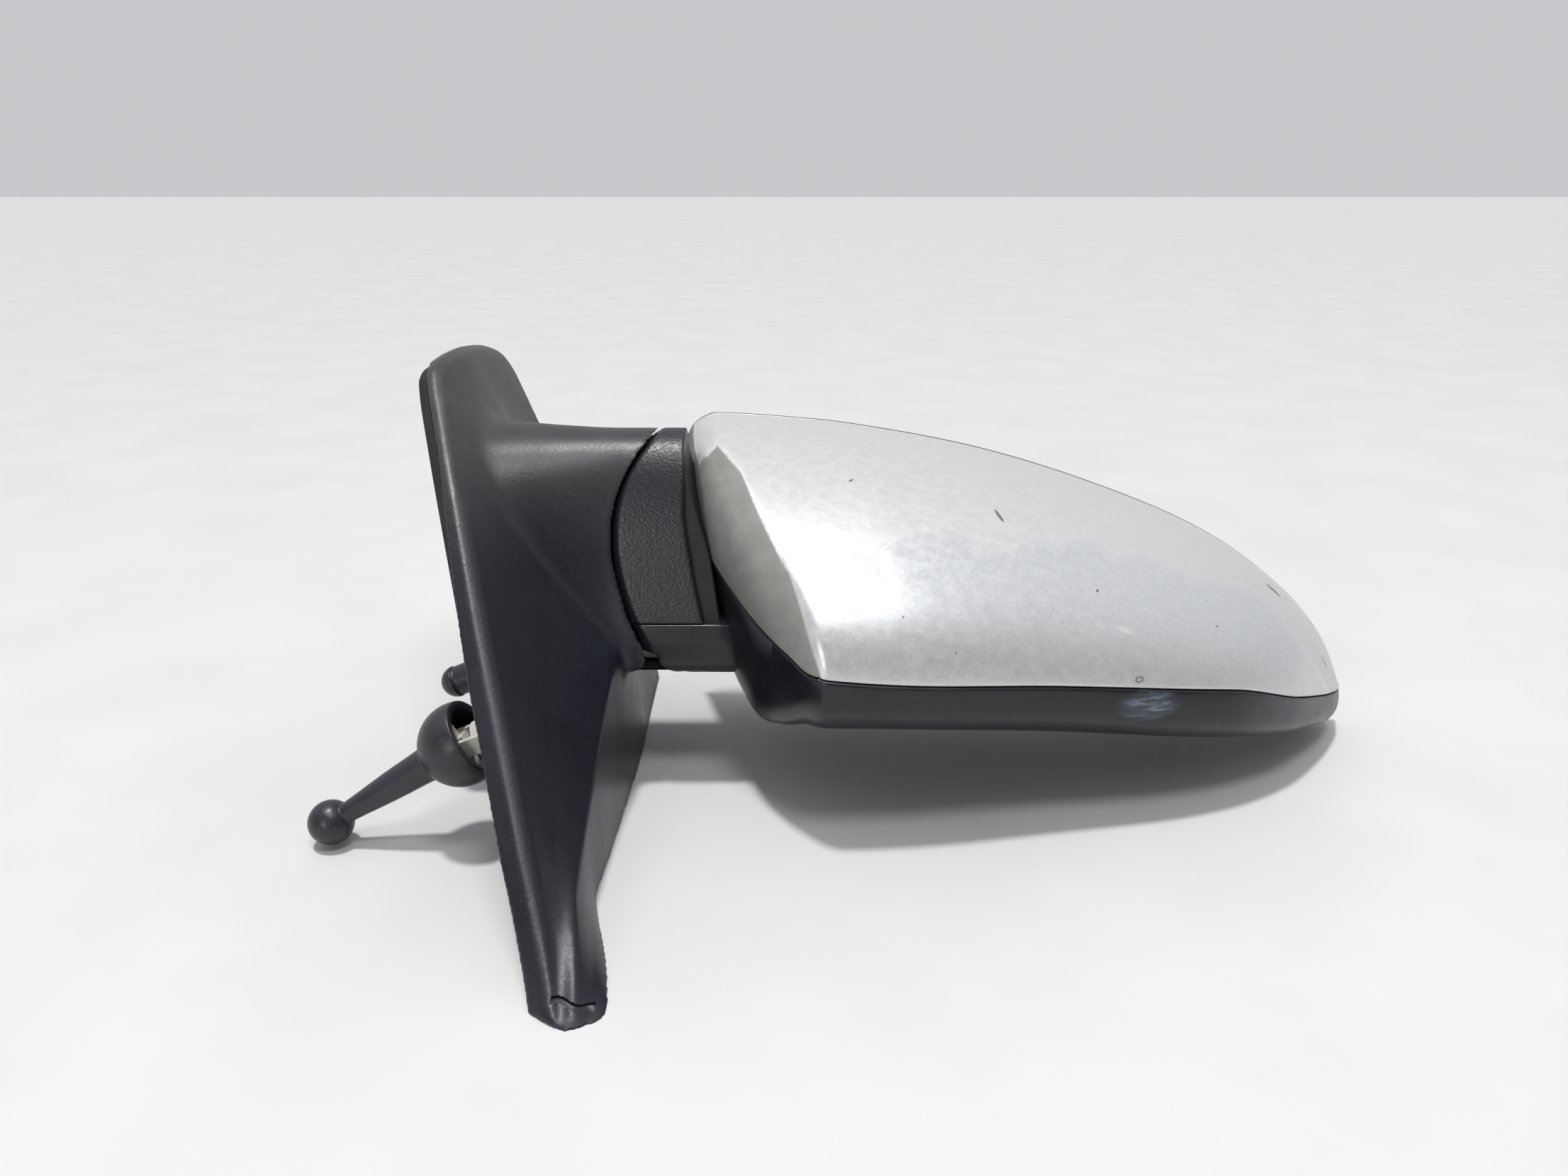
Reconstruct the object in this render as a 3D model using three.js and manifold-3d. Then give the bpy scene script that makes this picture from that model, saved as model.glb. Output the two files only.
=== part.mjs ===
// A left-hand, lever-adjusted, folding exterior mirror of a small car, in millimetres.
// Row frame: origin in the middle of the door face, +X outboard, +Y towards the rear of the car, +Z up.
// The sail (the triangular base) leans inboard by SAIL_LEAN; its pieces are drawn in the sail's own frame,
// where x is the distance out from the door face, y runs rearward and z runs up the sail.
import * as THREE from "three";
import { LoftGeometry } from "three/addons/geometries/LoftGeometry.js";
import { mergeVertices } from "three/addons/utils/BufferGeometryUtils.js";
import Module from "manifold-3d";

const GAP = 0.3; // between pieces that touch on the real object
const WALL = 2.4; // moulded wall thickness
const deg = THREE.MathUtils.degToRad;
const vec = (x, y, z) => new THREE.Vector3(x, y, z);

// Sail
const SAIL_LEAN = deg(22);
const FLOOR_Z = -36.7; // the sail is cut off level here
const GASKET = 2.8; // thickness of the rubber on the door face
const FLANGE = 8.5; // height of the cover's rim over the door face
const RIM_ROUND = 5.5; // width of the rounded rim
const BRACKET_THICK = 2.6;
const BRACKET_INSET = 11; // bracket plate inside the sail's outline
const BRACKET_LOW = GASKET + GAP;
const BRACKET_TOP = BRACKET_LOW + BRACKET_THICK;
const DOOR_NUTS = [[44, 66], [46, -26], [-84, -27]]; // [y, z] on the sail
const NUT_BOSS = { r: 7.8, top: 7.4 };
const NUT_R = 5.6; // across the corners
const NUT_THICK = 2.6;
const BOLT_HOLE_R = 3.3;
const NUT_BORE_R = 2.5;
const COVER_SCREWS = [[18, 77, 9.4], [22, -34, 13], [-66, -33, 11.2]]; // [y, z, top of the cover's post]
const SCREW_R = 1.4;
const SCREW_HEAD_R = 3.4;
const SCREW_HEAD = 1.9;
const SCREW_LENGTH = 6.2;
const SCREW_SLOT = { half: 0.5, length: 1.9, deep: 1 };
const COVER_POST_R = 3.4;
const PEG = { y: -20, z: 7, r: 4.6, length: 22, shankR: 2.3 };

// Arm, neck and fold pivot
const FOLD = { x: 52.7, y: 8 }; // the vertical fold axis
const BALL_R = 35; // the fold joint's barrel: radius at its middle
const BALL_HALF = { up: 41, down: 60 };
const BALL_Z = 30;
const FOLD_GAP = 1.3;
const FOOT = { r: 12, low: -5.6, top: 5.2 }; // the round end of the bracket, under the pivot
const LUG = { low: -4, front: 2.5, rear: 13.5 }; // the bracket's lug, out to the foot
// The opening in the shell that lets it swing round the lug, as sectors about the fold axis
const LUG_SWING = [{ r: 19, half: deg(80) }, { r: 23, half: deg(65) }, { r: 60, half: deg(57.5) }];
const NECK_SPLIT = 15.4; // the grained cover sits on the shell's smooth chin here
const COLLAR_INSET = 2.4;
const COLUMN_R = FOOT.r + 0.8; // the round hole in the shell, over the foot and the pivot
const TUBE_R = 6;
const TUBE_BORE = 4.3;
const TUBE_TOP = 31.5;
const TUBE_HEAD = { r: 9.4, thick: 1.8 };
const DETENT_R = 11.6;
const DETENT_THICK = 3;
const FRAME_THICK = 4;
const SPRING = { r: 8.7, wire: 1.1, turns: 2.5, top: 26 };
const LOOM_R = 2.6; // the three adjusting cables in their sleeve
const LOOM_SPLIT = 22; // where the sleeve's base and head parts meet inside the tube

// Head
const HEAD_INNER = 41; // inboard end of the housing
const HEAD_OUTER = 258;
const RIM_Y = 46; // rear rim of the housing at its inboard end
const RIM_SLOPE = 0.098; // the rim comes forward going outboard
const UPPER_POWER = 1.9;
const LOWER_FALL = 0.1; // slope of the housing's underside
const CREASE_X = 82; // where the inner side face meets the front face
const SWEEP = 31; // how far the crease leans inboard by SWEEP_TOP
const SWEEP_LOW = 15;
const SWEEP_TOP = 64;
const CAP_THICK = 2.4;
const CAP_REAR = 1.2; // width of the black edge left behind the cap

// Glass, in the frame of the rim
const GLASS_AT = { x: 140, z: 8 };
const GLASS_INSET = 10.5;
const GLASS_FACE = -4; // reflecting face, in front of the rim plane
const GLASS_THICK = 2.2;
const PAD_THICK = 0.8;
const CARRIER_THICK = 2.6;
const CARRIER_INSET = GLASS_INSET + 3.3;
const PAD_INSET = GLASS_INSET + 5;
const PIVOT_Y = -18; // where the glass swings
const PLATE_REAR = -30; // rear face of the frame's plate
const PLATE_THICK = 4;
const SHELL_POSTS = [[-42, 20], [-42, -7], [34, -8]]; // [x, z]
const MOUNT_SCREWS = [[0, 15], [-13, -7.5], [13, -7.5]]; // [x, z]
const MOUNT_BACK = PLATE_REAR + GAP;
const MOUNT_BASE = { r: 20, thick: 2.6 };
const NIPPLES = [[0, 20], [-17.3, -10], [17.3, -10]]; // [x, z] of the three cable ends on the carrier

// Adjusting lever, in the sail's frame
const LEVER = { x: -15, y: -52, z: 0, droop: deg(10.3) };
const DOME_R = 11.6;
const DOME_WALL = 2.2;
const KNOB_R = 6.2;
const LEVER_LENGTH = 45.3; // from the dome's centre to the knob's centre
const RECESS = { r: 2.7, toward: [0.124, -0.404, 0.906] };
const PIN_R = 1.2;
const PIN_HOLE_R = 1.5;
const SOCKET_R = 4.6;

const black = { color: 0x46484c, roughness: 0.6, metalness: 0 };
const gloss = { color: 0x16171a, roughness: 0.3, metalness: 0 };
const rubber = { color: 0x232426, roughness: 0.85, metalness: 0 };
const silver = { color: 0xc8cac6, roughness: 0.35, metalness: 0.6 };
const steel = { color: 0xa8abb0, roughness: 0.4, metalness: 1 };
const casting = { color: 0x3a3c40, roughness: 0.5, metalness: 0.5 };
const nylon = { color: 0xd8d4c8, roughness: 0.5, metalness: 0 };
const mirrorFinish = { color: 0xe8eef2, roughness: 0.02, metalness: 1 };

// Solid helpers
const wasm = await Module();
wasm.setup();

function solid(geometry) {
  const bare = new THREE.BufferGeometry();
  bare.setAttribute("position", geometry.getAttribute("position"));
  bare.setIndex(geometry.getIndex());
  const merged = mergeVertices(bare, 1e-3);
  const triVerts = new Uint32Array(merged.index.array);
  const vertProperties = merged.attributes.position.array;
  const made = new wasm.Manifold(new wasm.Mesh({ numProp: 3, vertProperties, triVerts }));
  if (made.volume() >= 0) return made;
  triVerts.reverse();
  return new wasm.Manifold(new wasm.Mesh({ numProp: 3, vertProperties, triVerts }));
}

function geometryOf(made) {
  const { vertProperties, triVerts } = made.getMesh();
  const geometry = new THREE.BufferGeometry();
  geometry.setAttribute("position", new THREE.BufferAttribute(vertProperties, 3));
  geometry.setIndex(new THREE.BufferAttribute(triVerts, 1));
  return geometry;
}

const joined = (...solids) => solids.reduce((all, one) => all.add(one));
const without = (whole, ...cuts) => cuts.reduce((left, cut) => left.subtract(cut), whole);

// A box from its lowest to its highest corner.
function block(low, high) {
  const [x, y, z] = high.map((top, i) => top - low[i]);
  return solid(new THREE.BoxGeometry(x, y, z).translate(low[0] + x / 2, low[1] + y / 2, low[2] + z / 2));
}

// A cylinder between two points.
function rod(from, to, radius, sides = 20, endRadius = radius) {
  const along = to.clone().sub(from);
  const turn = new THREE.Quaternion().setFromUnitVectors(vec(0, 1, 0), along.clone().normalize());
  const geometry = new THREE.CylinderGeometry(endRadius, radius, along.length(), sides);
  geometry.applyQuaternion(turn).translate(...from.clone().addScaledVector(along, 0.5).toArray());
  return solid(geometry);
}

// A ring or a stepped solid of revolution about the vertical line through (x, y): [radius, height] pairs.
function turned(profile, x, y, sides = 32) {
  const points = profile.map(([r, h]) => new THREE.Vector2(r, h));
  const geometry = new THREE.LatheGeometry(points, sides).rotateX(Math.PI / 2).translate(x, y, 0);
  return solid(geometry);
}

const ring = (inner, outer, low, high) => [
  [inner, low], [outer, low], [outer, high], [inner, high], [inner, low],
];

// A plate standing across the x axis: an outline of [y, z] points between two distances.
function plateX(outline, x0, x1) {
  const shape = new THREE.Shape(outline.map(([y, z]) => new THREE.Vector2(y, z)));
  const geometry = new THREE.ExtrudeGeometry(shape, { depth: x1 - x0, bevelEnabled: false });
  return solid(geometry.rotateX(Math.PI / 2).rotateZ(Math.PI / 2).translate(x0, 0, 0));
}

// A plate standing across the y axis: an outline of [x, z] points between two distances.
function plateY(outline, y0, y1) {
  const shape = new THREE.Shape(outline.map(([x, z]) => new THREE.Vector2(x, z)));
  const geometry = new THREE.ExtrudeGeometry(shape, { depth: y1 - y0, bevelEnabled: false });
  return solid(geometry.rotateX(Math.PI / 2).translate(0, y1, 0));
}

// A skin over closed sections with the same number of points, capped at both ends. The sections are turned
// the way round that makes the skin face outwards.
function loft(sections) {
  const [first] = sections;
  const middle = (ring) => ring.reduce((sum, p) => sum.add(p), vec(0, 0, 0)).divideScalar(ring.length);
  const along = middle(sections[sections.length - 1]).sub(middle(first));
  const facing = first.reduce((sum, p, i) => sum.add(p.clone().cross(first[(i + 1) % first.length])), vec(0, 0, 0));
  const wound = facing.dot(along) < 0 ? sections.map((ring) => [...ring].reverse()) : sections;
  return solid(new LoftGeometry(wound, { capStart: true, capEnd: true }));
}

// A smooth curve through [position, value] knots that never overshoots them.
function smooth(knots) {
  const at = knots.map((knot) => knot[0]);
  const value = knots.map((knot) => knot[1]);
  const rise = at.slice(1).map((x, i) => (value[i + 1] - value[i]) / (x - at[i]));
  const slope = at.map((_, i) => {
    if (i === 0) return rise[0];
    if (i === at.length - 1) return rise[i - 1];
    return rise[i - 1] * rise[i] <= 0 ? 0 : (2 * rise[i - 1] * rise[i]) / (rise[i - 1] + rise[i]);
  });
  return (x) => {
    if (x <= at[0]) return value[0];
    if (x >= at[at.length - 1]) return value[at.length - 1];
    const i = at.findIndex((end) => end > x) - 1;
    const span = at[i + 1] - at[i];
    const t = (x - at[i]) / span;
    const ease = t * t * (3 - 2 * t);
    const pull = slope[i] * (1 - t) - slope[i + 1] * t;
    return value[i] * (1 - ease) + value[i + 1] * ease + span * t * (1 - t) * pull;
  };
}

// The sail's outline: its top (windscreen) edge and its bottom edge over the rearward position
const SAIL_STATIONS = [
  -127.5, -126, -123, -118, -111, -103, -94, -85, -72, -60, -47, -35, -22, -10, 0, 6, 14, 26, 38, 50, 58, 63, 65,
];
const sailTop = smooth([
  [-127.5, -41.4], [-126, -39.6], [-122, -36.8], [-110, -26.5], [-57, 29.8], [-12.6, 74], [0, 86],
  [6, 90], [14, 91.6], [25, 91.8], [45, 90], [58, 87.3], [63, 84.5], [65, 80],
]);
const sailFoot = smooth([[-127.5, -46], [-124, -48], [58, -48], [63, -45], [65, -40]]);
// The nose is undercut: further forward the further it stands out from the door
const noseLean = (y, x) => THREE.MathUtils.clamp((-98 - y) / 29.5, 0, 1) * (5.5 - 0.62 * Math.max(x, 0));
// The fairing's crest and the cover's thickness at its bottom edge
const crestHeight = smooth([
  [-127, -38.5], [-122, -36], [-112, -31], [-85, -25.6], [-60, -18], [-35, -8], [-15, 0], [8, 5],
  [30, -2], [50, -14], [65, -24],
]);
const crestOut = smooth([
  [-127, 9], [-122, 11.5], [-112, 12.8], [-85, 14.6], [-60, 17.5], [-35, 22], [-15, 27], [6, 29],
  [22, 20], [36, 13], [50, 11.6], [65, 11.5],
]);
const footOut = smooth([
  [-127.5, 11], [-124, 16], [-117, 17.3], [-110, 16.4], [-97, 13.2], [-85.5, 9.8], [-76, 7.8], [-60, 8.7],
  [-39.5, 9.6], [-27, 10], [0, 11], [65, 11],
]);
// A short blind slot across the nose, in [x, z] of the row frame, and how far rearward it goes
const NOSE_SLOT = [[22.4, -28.6], [22.4, -27.6], [36, -32.8], [36, -33.8]];
const NOSE_SLOT_END = -124.8;
const flangeOut = smooth([[-127, 8], [-100, FLANGE], [0, FLANGE], [30, 11], [65, 11]]);

function sailOutline(inset) {
  const stations = SAIL_STATIONS.filter((y) => sailTop(y) - sailFoot(y) > 2.4 * inset + 0.5);
  const squeeze = (y) => THREE.MathUtils.clamp(y, SAIL_STATIONS[0] + inset, 65 - inset) + noseLean(y, 0);
  const lower = stations.map((y) => [squeeze(y), sailFoot(y) + inset]);
  const upper = stations.map((y) => [squeeze(y), sailTop(y) - 1.35 * inset]).reverse();
  return [...lower, ...upper].filter(([y, z], i, all) => {
    const [py, pz] = all[(i + all.length - 1) % all.length];
    return Math.hypot(y - py, z - pz) > 0.05;
  });
}

// One cross-section of the sail cover at y, thinned by inset on every outer side.
function coverSection(y, x0, inset) {
  const top = sailTop(y) - 1.35 * inset;
  const foot = sailFoot(y) + inset;
  const room = Math.max(top - foot, 0.6);
  const crest = THREE.MathUtils.clamp(crestHeight(y), foot + 0.3 * room, foot + 0.6 * room);
  const rimWidth = Math.min(RIM_ROUND, 0.25 * room);
  const flange = flangeOut(y) - inset;
  const crestX = crestOut(y) - inset;
  const footX = footOut(y) - inset;
  const side = (part, a, b) => a + (b - a) * part;
  const points = [
    [x0, foot], [footX - 1.2, foot], [footX, foot + Math.min(1.5, 0.1 * room)],
    [side(0.5, footX, crestX) - 0.4, side(0.5, foot, crest)], [crestX, crest],
    [side(0.45, crestX, flange) - 0.6, side(0.45, crest, top - rimWidth)],
    [flange, top - rimWidth], [flange - 0.6, top - 0.45 * rimWidth], [flange - 3, top], [x0, top],
  ];
  return points.map(([x, z]) => vec(x, y + noseLean(y, x), z));
}

function coverLoft(x0, inset) {
  const first = SAIL_STATIONS[0];
  const last = SAIL_STATIONS[SAIL_STATIONS.length - 1];
  const sections = SAIL_STATIONS.filter((y) => sailTop(y) - sailFoot(y) > 3 * inset).map((y) => {
    const section = coverSection(y, x0, inset);
    const held = THREE.MathUtils.clamp(y, first + inset, last - inset);
    return section.map((p) => p.setY(p.y + (held - y) * 0.99));
  });
  return loft(sections);
}

// The arm's cross-section in [y, z]: a sloping front face down to a low crease, and a tucked underside
const ARM_SECTION = [
  [9, 67], [1, 64.5], [-5, 57.5], [-10.5, 44], [-15, 28], [-18.5, 14], [-19.3, 8.5], [-18, 2.5], [-12, -2.4],
  [-3, -5.4], [12, -6.6], [18.5, -5], [21.5, 2], [22, 25], [21.5, 45], [19.5, 58], [15, 65],
];
const armFlare = smooth([[-20, 0.75], [-6, 0.42], [8, 0.16], [24, 0], [80, 0]]);

function armLoft(x0, x1, inset) {
  const stations = [x0, ...[-14, -6, 2, 10, 18, 24].filter((x) => x > x0 + 1 && x < x1 - 1), x1];
  const centre = { y: FOLD.y, z: BALL_Z };
  const sections = stations.map((x) =>
    ARM_SECTION.map(([y, z]) => {
      const away = new THREE.Vector2(y - centre.y, z - centre.z);
      const reach = away.length();
      const widen = 1 + armFlare(x) * (y < centre.y ? 1 : 0.35) - inset / reach;
      const lift = 1 + armFlare(x) * (z < centre.z ? 0.45 : 0.12) - inset / reach;
      return vec(x, centre.y + away.x * widen, centre.z + away.y * lift);
    }),
  );
  return loft(sections);
}

// The barrel-shaped surface that the neck turns in, about the fold axis.
function foldBarrel(extra, low, high) {
  const rows = 15;
  const profile = [[0, low]];
  for (let i = 0; i <= rows; i += 1) {
    const z = low + ((high - low) * i) / rows;
    const across = Math.abs((z - BALL_Z) / (z > BALL_Z ? BALL_HALF.up : BALL_HALF.down)) ** 2.2;
    profile.push([BALL_R * Math.sqrt(Math.max(1 - across, 0.04)) + extra, z]);
  }
  profile.push([0, high]);
  return turned(profile, FOLD.x, FOLD.y, 40);
}

// The housing: outer form over the outboard position x, and the angle round its section
const HEAD_STATIONS = [
  41, 43, 46.5, 51, 57, 63, 70, 76, 80, 82.5, 86, 92, 102, 120, 140, 160, 180, 200, 215, 228, 239, 248, 254, 258,
];
const headFront = smooth([
  [41, 44], [43.8, 29], [47.7, 12], [50, 0], [54.2, -12.5], [60.5, -26], [66.3, -37], [73.5, -48], [80.5, -55.5],
  [84, -57], [100, -56], [148, -47.5], [180, -41], [201, -34], [222, -22], [237, -8], [248, 5], [254, 14], [258, 23],
]);
const headTop = smooth([
  [41, 57], [43, 60.5], [46, 63], [50.5, 64.7], [83, 63.2], [106, 60.4], [130, 56.2], [152, 50.7], [175, 43.3],
  [198, 34.4], [214, 26.2], [230, 15], [241, 5], [248, -4], [253, -13.5], [258, -23],
]);
const headLow = smooth([
  [41, -2], [46, -6.2], [52, -8.1], [57, -10], [64, -11.4], [72, -11.5], [82, -11.6], [95, -11.8],
  [142, -15.5], [200, -22], [232, -27], [250, -31.5], [258, -30],
]);
const headMiddle = smooth([[41, 34], [54, 30], [66, 22], [82, 12], [150, 4], [200, -6], [235, -17], [258, -26.5]]);
const creaseShare = smooth([[41, 0], [82, 1], [100, 0.86], [150, 0], [258, 0]]);
// Squareness of the sections below the middle: most at the front corner next to the neck
const lowerPower = smooth([[41, 2.4], [54, 2.4], [60, 4.3], [66, 7], [72, 4.7], [80, 2.8], [110, 2.6], [258, 2.6]]);
const rimPlane = (x) => RIM_Y - RIM_SLOPE * (x - HEAD_INNER);

// How far the crease's lean carries a point inboard
function headSweep(station, z) {
  const over = Math.max(z - SWEEP_LOW, 0) / (SWEEP_TOP - SWEEP_LOW);
  return SWEEP * over * over * creaseShare(station);
}

// Height of the housing's top at a station, where its silhouette meets the lean of the crease
function headCrown(station) {
  let z = headTop(station);
  for (let i = 0; i < 12; i += 1) z += (headTop(station - headSweep(station, z)) - z) / 2;
  return z;
}

function headPoint(station, angle, inset, behind = 0) {
  const share = (station - HEAD_INNER) / (HEAD_OUTER - HEAD_INNER);
  const x = station + inset * (1 - 2 * share);
  const middle = headMiddle(station);
  const sine = Math.sin(angle);
  const upper = sine > 0;
  const power = 2 / (upper ? UPPER_POWER : lowerPower(station));
  const crown = headCrown(station);
  const reach = Math.max(rimPlane(x) - headFront(station) - inset, 0.5);
  const half = Math.max((upper ? crown - middle : middle - headLow(station)) - inset, 0.4);
  const forward = Math.abs(Math.cos(angle)) ** power;
  const rise = Math.sign(sine) * half * Math.abs(sine) ** power;
  const fall = upper ? 0 : LOWER_FALL * reach * (1 - forward);
  const z = middle + rise - fall;
  const swept = x - headSweep(station, z);
  return vec(swept, rimPlane(swept) + behind - (reach + behind) * forward, z);
}

function headLoft(inset, behind = 0) {
  const steps = 18;
  const sections = HEAD_STATIONS.map((station) => {
    const section = [];
    for (let i = 0; i <= steps; i += 1) {
      section.push(headPoint(station, Math.PI * (i / steps - 0.5), inset, behind));
    }
    return section;
  });
  return loft(sections);
}

// The space above the cap's lower edge. Round the inner side the edge sweeps up towards the rear.
const splitSide = smooth([
  [-75, 15], [-55.5, 15], [-48, 18], [-36, 22], [-25, 26], [-12, 30.5], [14, 34.5], [30, 41], [41, 49], [46, 57],
  [60, 75],
]);
const splitFront = smooth([[80, 15], [100, 12.8], [148, 8.5], [200, 1], [225, -8], [245, -16.5], [262, -25]]);

function capSpace(raise) {
  const rows = [-75, -62, -55, -48, -42, -36, -25, -12, 0, 14, 22, 30, 36, 41, 46, 60];
  const stations = [20, 80, 84, 92, 104, 126, 148, 175, 200, 225, 245, 264];
  const sections = stations.map((x) => {
    const edge = rows.map((y) => vec(x, y, (x < CREASE_X ? splitSide(y) : splitFront(x)) + raise));
    return [...edge, vec(x, 60, 90), vec(x, -75, 90)];
  });
  return loft(sections);
}

// Everything in front of the shell's rear edge.
function rimFront(setBack) {
  const low = HEAD_INNER - 20;
  const high = HEAD_OUTER + 20;
  const shape = new THREE.Shape([
    new THREE.Vector2(low, -90), new THREE.Vector2(high, -90),
    new THREE.Vector2(high, rimPlane(high) - setBack), new THREE.Vector2(low, rimPlane(low) - setBack),
  ]);
  return solid(new THREE.ExtrudeGeometry(shape, { depth: 200, bevelEnabled: false }).translate(0, 0, -80));
}

const part = new THREE.Group();
const sail = new THREE.Group();
sail.rotation.y = -SAIL_LEAN;
const rim = new THREE.Group();
rim.position.set(GLASS_AT.x, rimPlane(GLASS_AT.x), GLASS_AT.z);
rim.rotation.z = -Math.atan(RIM_SLOPE);
part.add(sail, rim);
part.updateMatrixWorld(true);

const moved = (made, group, back = false) => {
  const matrix = back ? group.matrixWorld.clone().invert() : group.matrixWorld;
  return solid(geometryOf(made).applyMatrix4(matrix));
};

function place(group, name, made, finish) {
  const mesh = new THREE.Mesh(geometryOf(made), new THREE.MeshStandardMaterial(finish));
  mesh.name = name;
  group.add(mesh);
}

// A tube through hand-placed points.
function tubeAlong(points, radius, steps, sides = 10) {
  const path = new THREE.CatmullRomCurve3(points.map((p) => vec(...p)), false, "centripetal");
  const shape = new THREE.Shape(new THREE.Path().absarc(0, 0, radius, 0, 2 * Math.PI).getPoints(sides).slice(0, -1));
  return solid(new THREE.ExtrudeGeometry(shape, { steps, bevelEnabled: false, extrudePath: path }));
}

const disc = (radius, low, high) => turned([[0, low], [radius, low], [radius, high], [0, high]], FOLD.x, FOLD.y);
const acrossSail = (y, z, x0, x1, radius, sides) => rod(vec(x0, y, z), vec(x1, y, z), radius, sides);

// Route of the cable sleeve, in the row frame
const BASE_LOOM = [
  [-9, -52, -3.6], [2, -52, 0.8], [6, -49.5, 2.6], [8.5, -42, 4.6], [11, -26, 6.6], [14, -12, 5.4],
  [18.5, -1, 2], [25, 5.5, -0.4], [33, 8, -0.9], [43, 8, -0.9], [49, 8, 0.6], [52.2, 8, 4.5], [52.7, 8, 11],
  [52.7, 8, 17], [52.7, 8, LOOM_SPLIT - GAP / 2],
];
const HEAD_LOOM = [
  [52.7, 8, LOOM_SPLIT + GAP / 2], [52.9, 8, 27], [53.8, 8.2, 32.5], [57, 9.2, 38], [64, 12, 41], [75, 16, 40],
  [86, 17.6, 34], [95, 16.4, 26.5], [101.6, 15.05, 22],
];
const baseLoom = (extra) => tubeAlong(BASE_LOOM, LOOM_R + extra, 44);
const headLoomRoute = (extra) => tubeAlong(HEAD_LOOM, LOOM_R + extra, 30);

// Everything below the level cut, in the sail's frame
const underFloor = () => moved(block([-150, -200, FLOOR_Z - 60], [150, 200, FLOOR_Z]), sail, true);

// Base: the pieces bolted to the door
function doorGasket() {
  const sheet = plateX(sailOutline(0), 0, GASKET);
  const bolts = DOOR_NUTS.map(([y, z]) => acrossSail(y, z, -1, 4, BOLT_HOLE_R + 0.8, 16));
  const heads = COVER_SCREWS.map(([y, z]) => acrossSail(y, z, -1, 4, SCREW_HEAD_R + 0.6, 14));
  const lever = acrossSail(LEVER.y, LEVER.z, -1, 4, 10.8, 28);
  const peg = acrossSail(PEG.y, PEG.z, -1, 4, PEG.r + GAP, 20);
  return without(sheet, ...bolts, ...heads, lever, peg, underFloor());
}

function sailCover() {
  const behindSkin = block([-80, -200, -200], [FLANGE - WALL, 200, 200]);
  const skin = without(coverLoft(BRACKET_LOW, 0), coverLoft(GASKET - 6, WALL));
  const arm = without(moved(armLoft(-16, 52, 0), sail, true), behindSkin);
  const armHollow = moved(without(armLoft(-12, 52, WALL), foldBarrel(FOLD_GAP + WALL, -30, 90)), sail, true);
  const posts = COVER_SCREWS.map(([y, z, top]) => acrossSail(y, z, BRACKET_TOP + GAP, top, COVER_POST_R, 14));
  const bores = COVER_SCREWS.map(([y, z]) => acrossSail(y, z, 0, GASKET + SCREW_LENGTH + 0.6, SCREW_R + GAP, 12));
  const barrel = moved(foldBarrel(FOLD_GAP, -30, 90), sail, true);
  const slot = moved(plateY(NOSE_SLOT, -150, NOSE_SLOT_END), sail, true);
  const lugWay = moved(bracketLug(0.5), sail, true);
  const loomWay = moved(baseLoom(0.5), sail, true);
  const open = without(joined(skin, arm), armHollow);
  return without(joined(open, ...posts), barrel, slot, lugWay, loomWay, ...bores, underFloor());
}

// The bracket's lug and its two ribs, from the plate to the foot
function bracketLug(extra) {
  const low = LUG.low - extra;
  const front = LUG.front - extra;
  const rear = LUG.rear + extra;
  const lug = loft([[-4, FOOT.top], [FOLD.x, FOOT.top]].map(([x, top]) => [
    vec(x, front, low), vec(x, rear, low), vec(x, rear, top + extra), vec(x, front, top + extra),
  ]));
  const ribs = [LUG.front, LUG.rear - 3].map((y) => loft([[-4, 26], [10, 13], [19, 4.8]].map(([x, top]) => [
    vec(x, y - extra, 2), vec(x, y + 3 + extra, 2), vec(x, y + 3 + extra, top + extra), vec(x, y - extra, top + extra),
  ])));
  const behindDoor = moved(block([-80, -200, -200], [BRACKET_LOW - extra, 200, 200]), sail);
  return without(joined(lug, ...ribs), behindDoor);
}

function mountBracket() {
  const plate = plateX(sailOutline(BRACKET_INSET), BRACKET_LOW, BRACKET_TOP);
  const bosses = DOOR_NUTS.map(([y, z]) => acrossSail(y, z, BRACKET_LOW, NUT_BOSS.top, NUT_BOSS.r, 20));
  const pockets = DOOR_NUTS.map(([y, z]) =>
    acrossSail(y, z, NUT_BOSS.top - NUT_THICK - GAP, NUT_BOSS.top + 1, NUT_R + GAP, 6));
  const bolts = DOOR_NUTS.map(([y, z]) => acrossSail(y, z, 0, 12, BOLT_HOLE_R, 16));
  const screws = COVER_SCREWS.map(([y, z]) => acrossSail(y, z, 0, 12, SCREW_R + GAP, 12));
  const peg = acrossSail(PEG.y, PEG.z, 0, 12, PEG.shankR + GAP, 16);
  const socket = acrossSail(LEVER.y, LEVER.z, 0, 12, SOCKET_R + GAP, 20);
  const flat = moved(without(joined(plate, ...bosses), ...pockets, ...bolts, ...screws, peg, socket), sail);
  const bore = disc(TUBE_R + GAP, -20, 20);
  const seat = disc(TUBE_HEAD.r + GAP, -20, FOOT.low + TUBE_HEAD.thick + GAP);
  return without(joined(flat, bracketLug(0), disc(FOOT.r, FOOT.low, FOOT.top)), bore, seat, baseLoom(0.4));
}

function captiveNut([y, z]) {
  const top = NUT_BOSS.top;
  return without(acrossSail(y, z, top - NUT_THICK, top, NUT_R, 6), acrossSail(y, z, 0, 12, NUT_BORE_R, 14));
}

function coverScrew([y, z]) {
  const head = acrossSail(y, z, GASKET - SCREW_HEAD, GASKET, SCREW_HEAD_R, 14);
  const { half, length, deep } = SCREW_SLOT;
  const recess = block([0, y - half, z - length], [GASKET - SCREW_HEAD + deep, y + half, z + length]);
  return without(joined(head, acrossSail(y, z, GASKET - 0.5, GASKET + SCREW_LENGTH, SCREW_R, 10)), recess);
}

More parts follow.
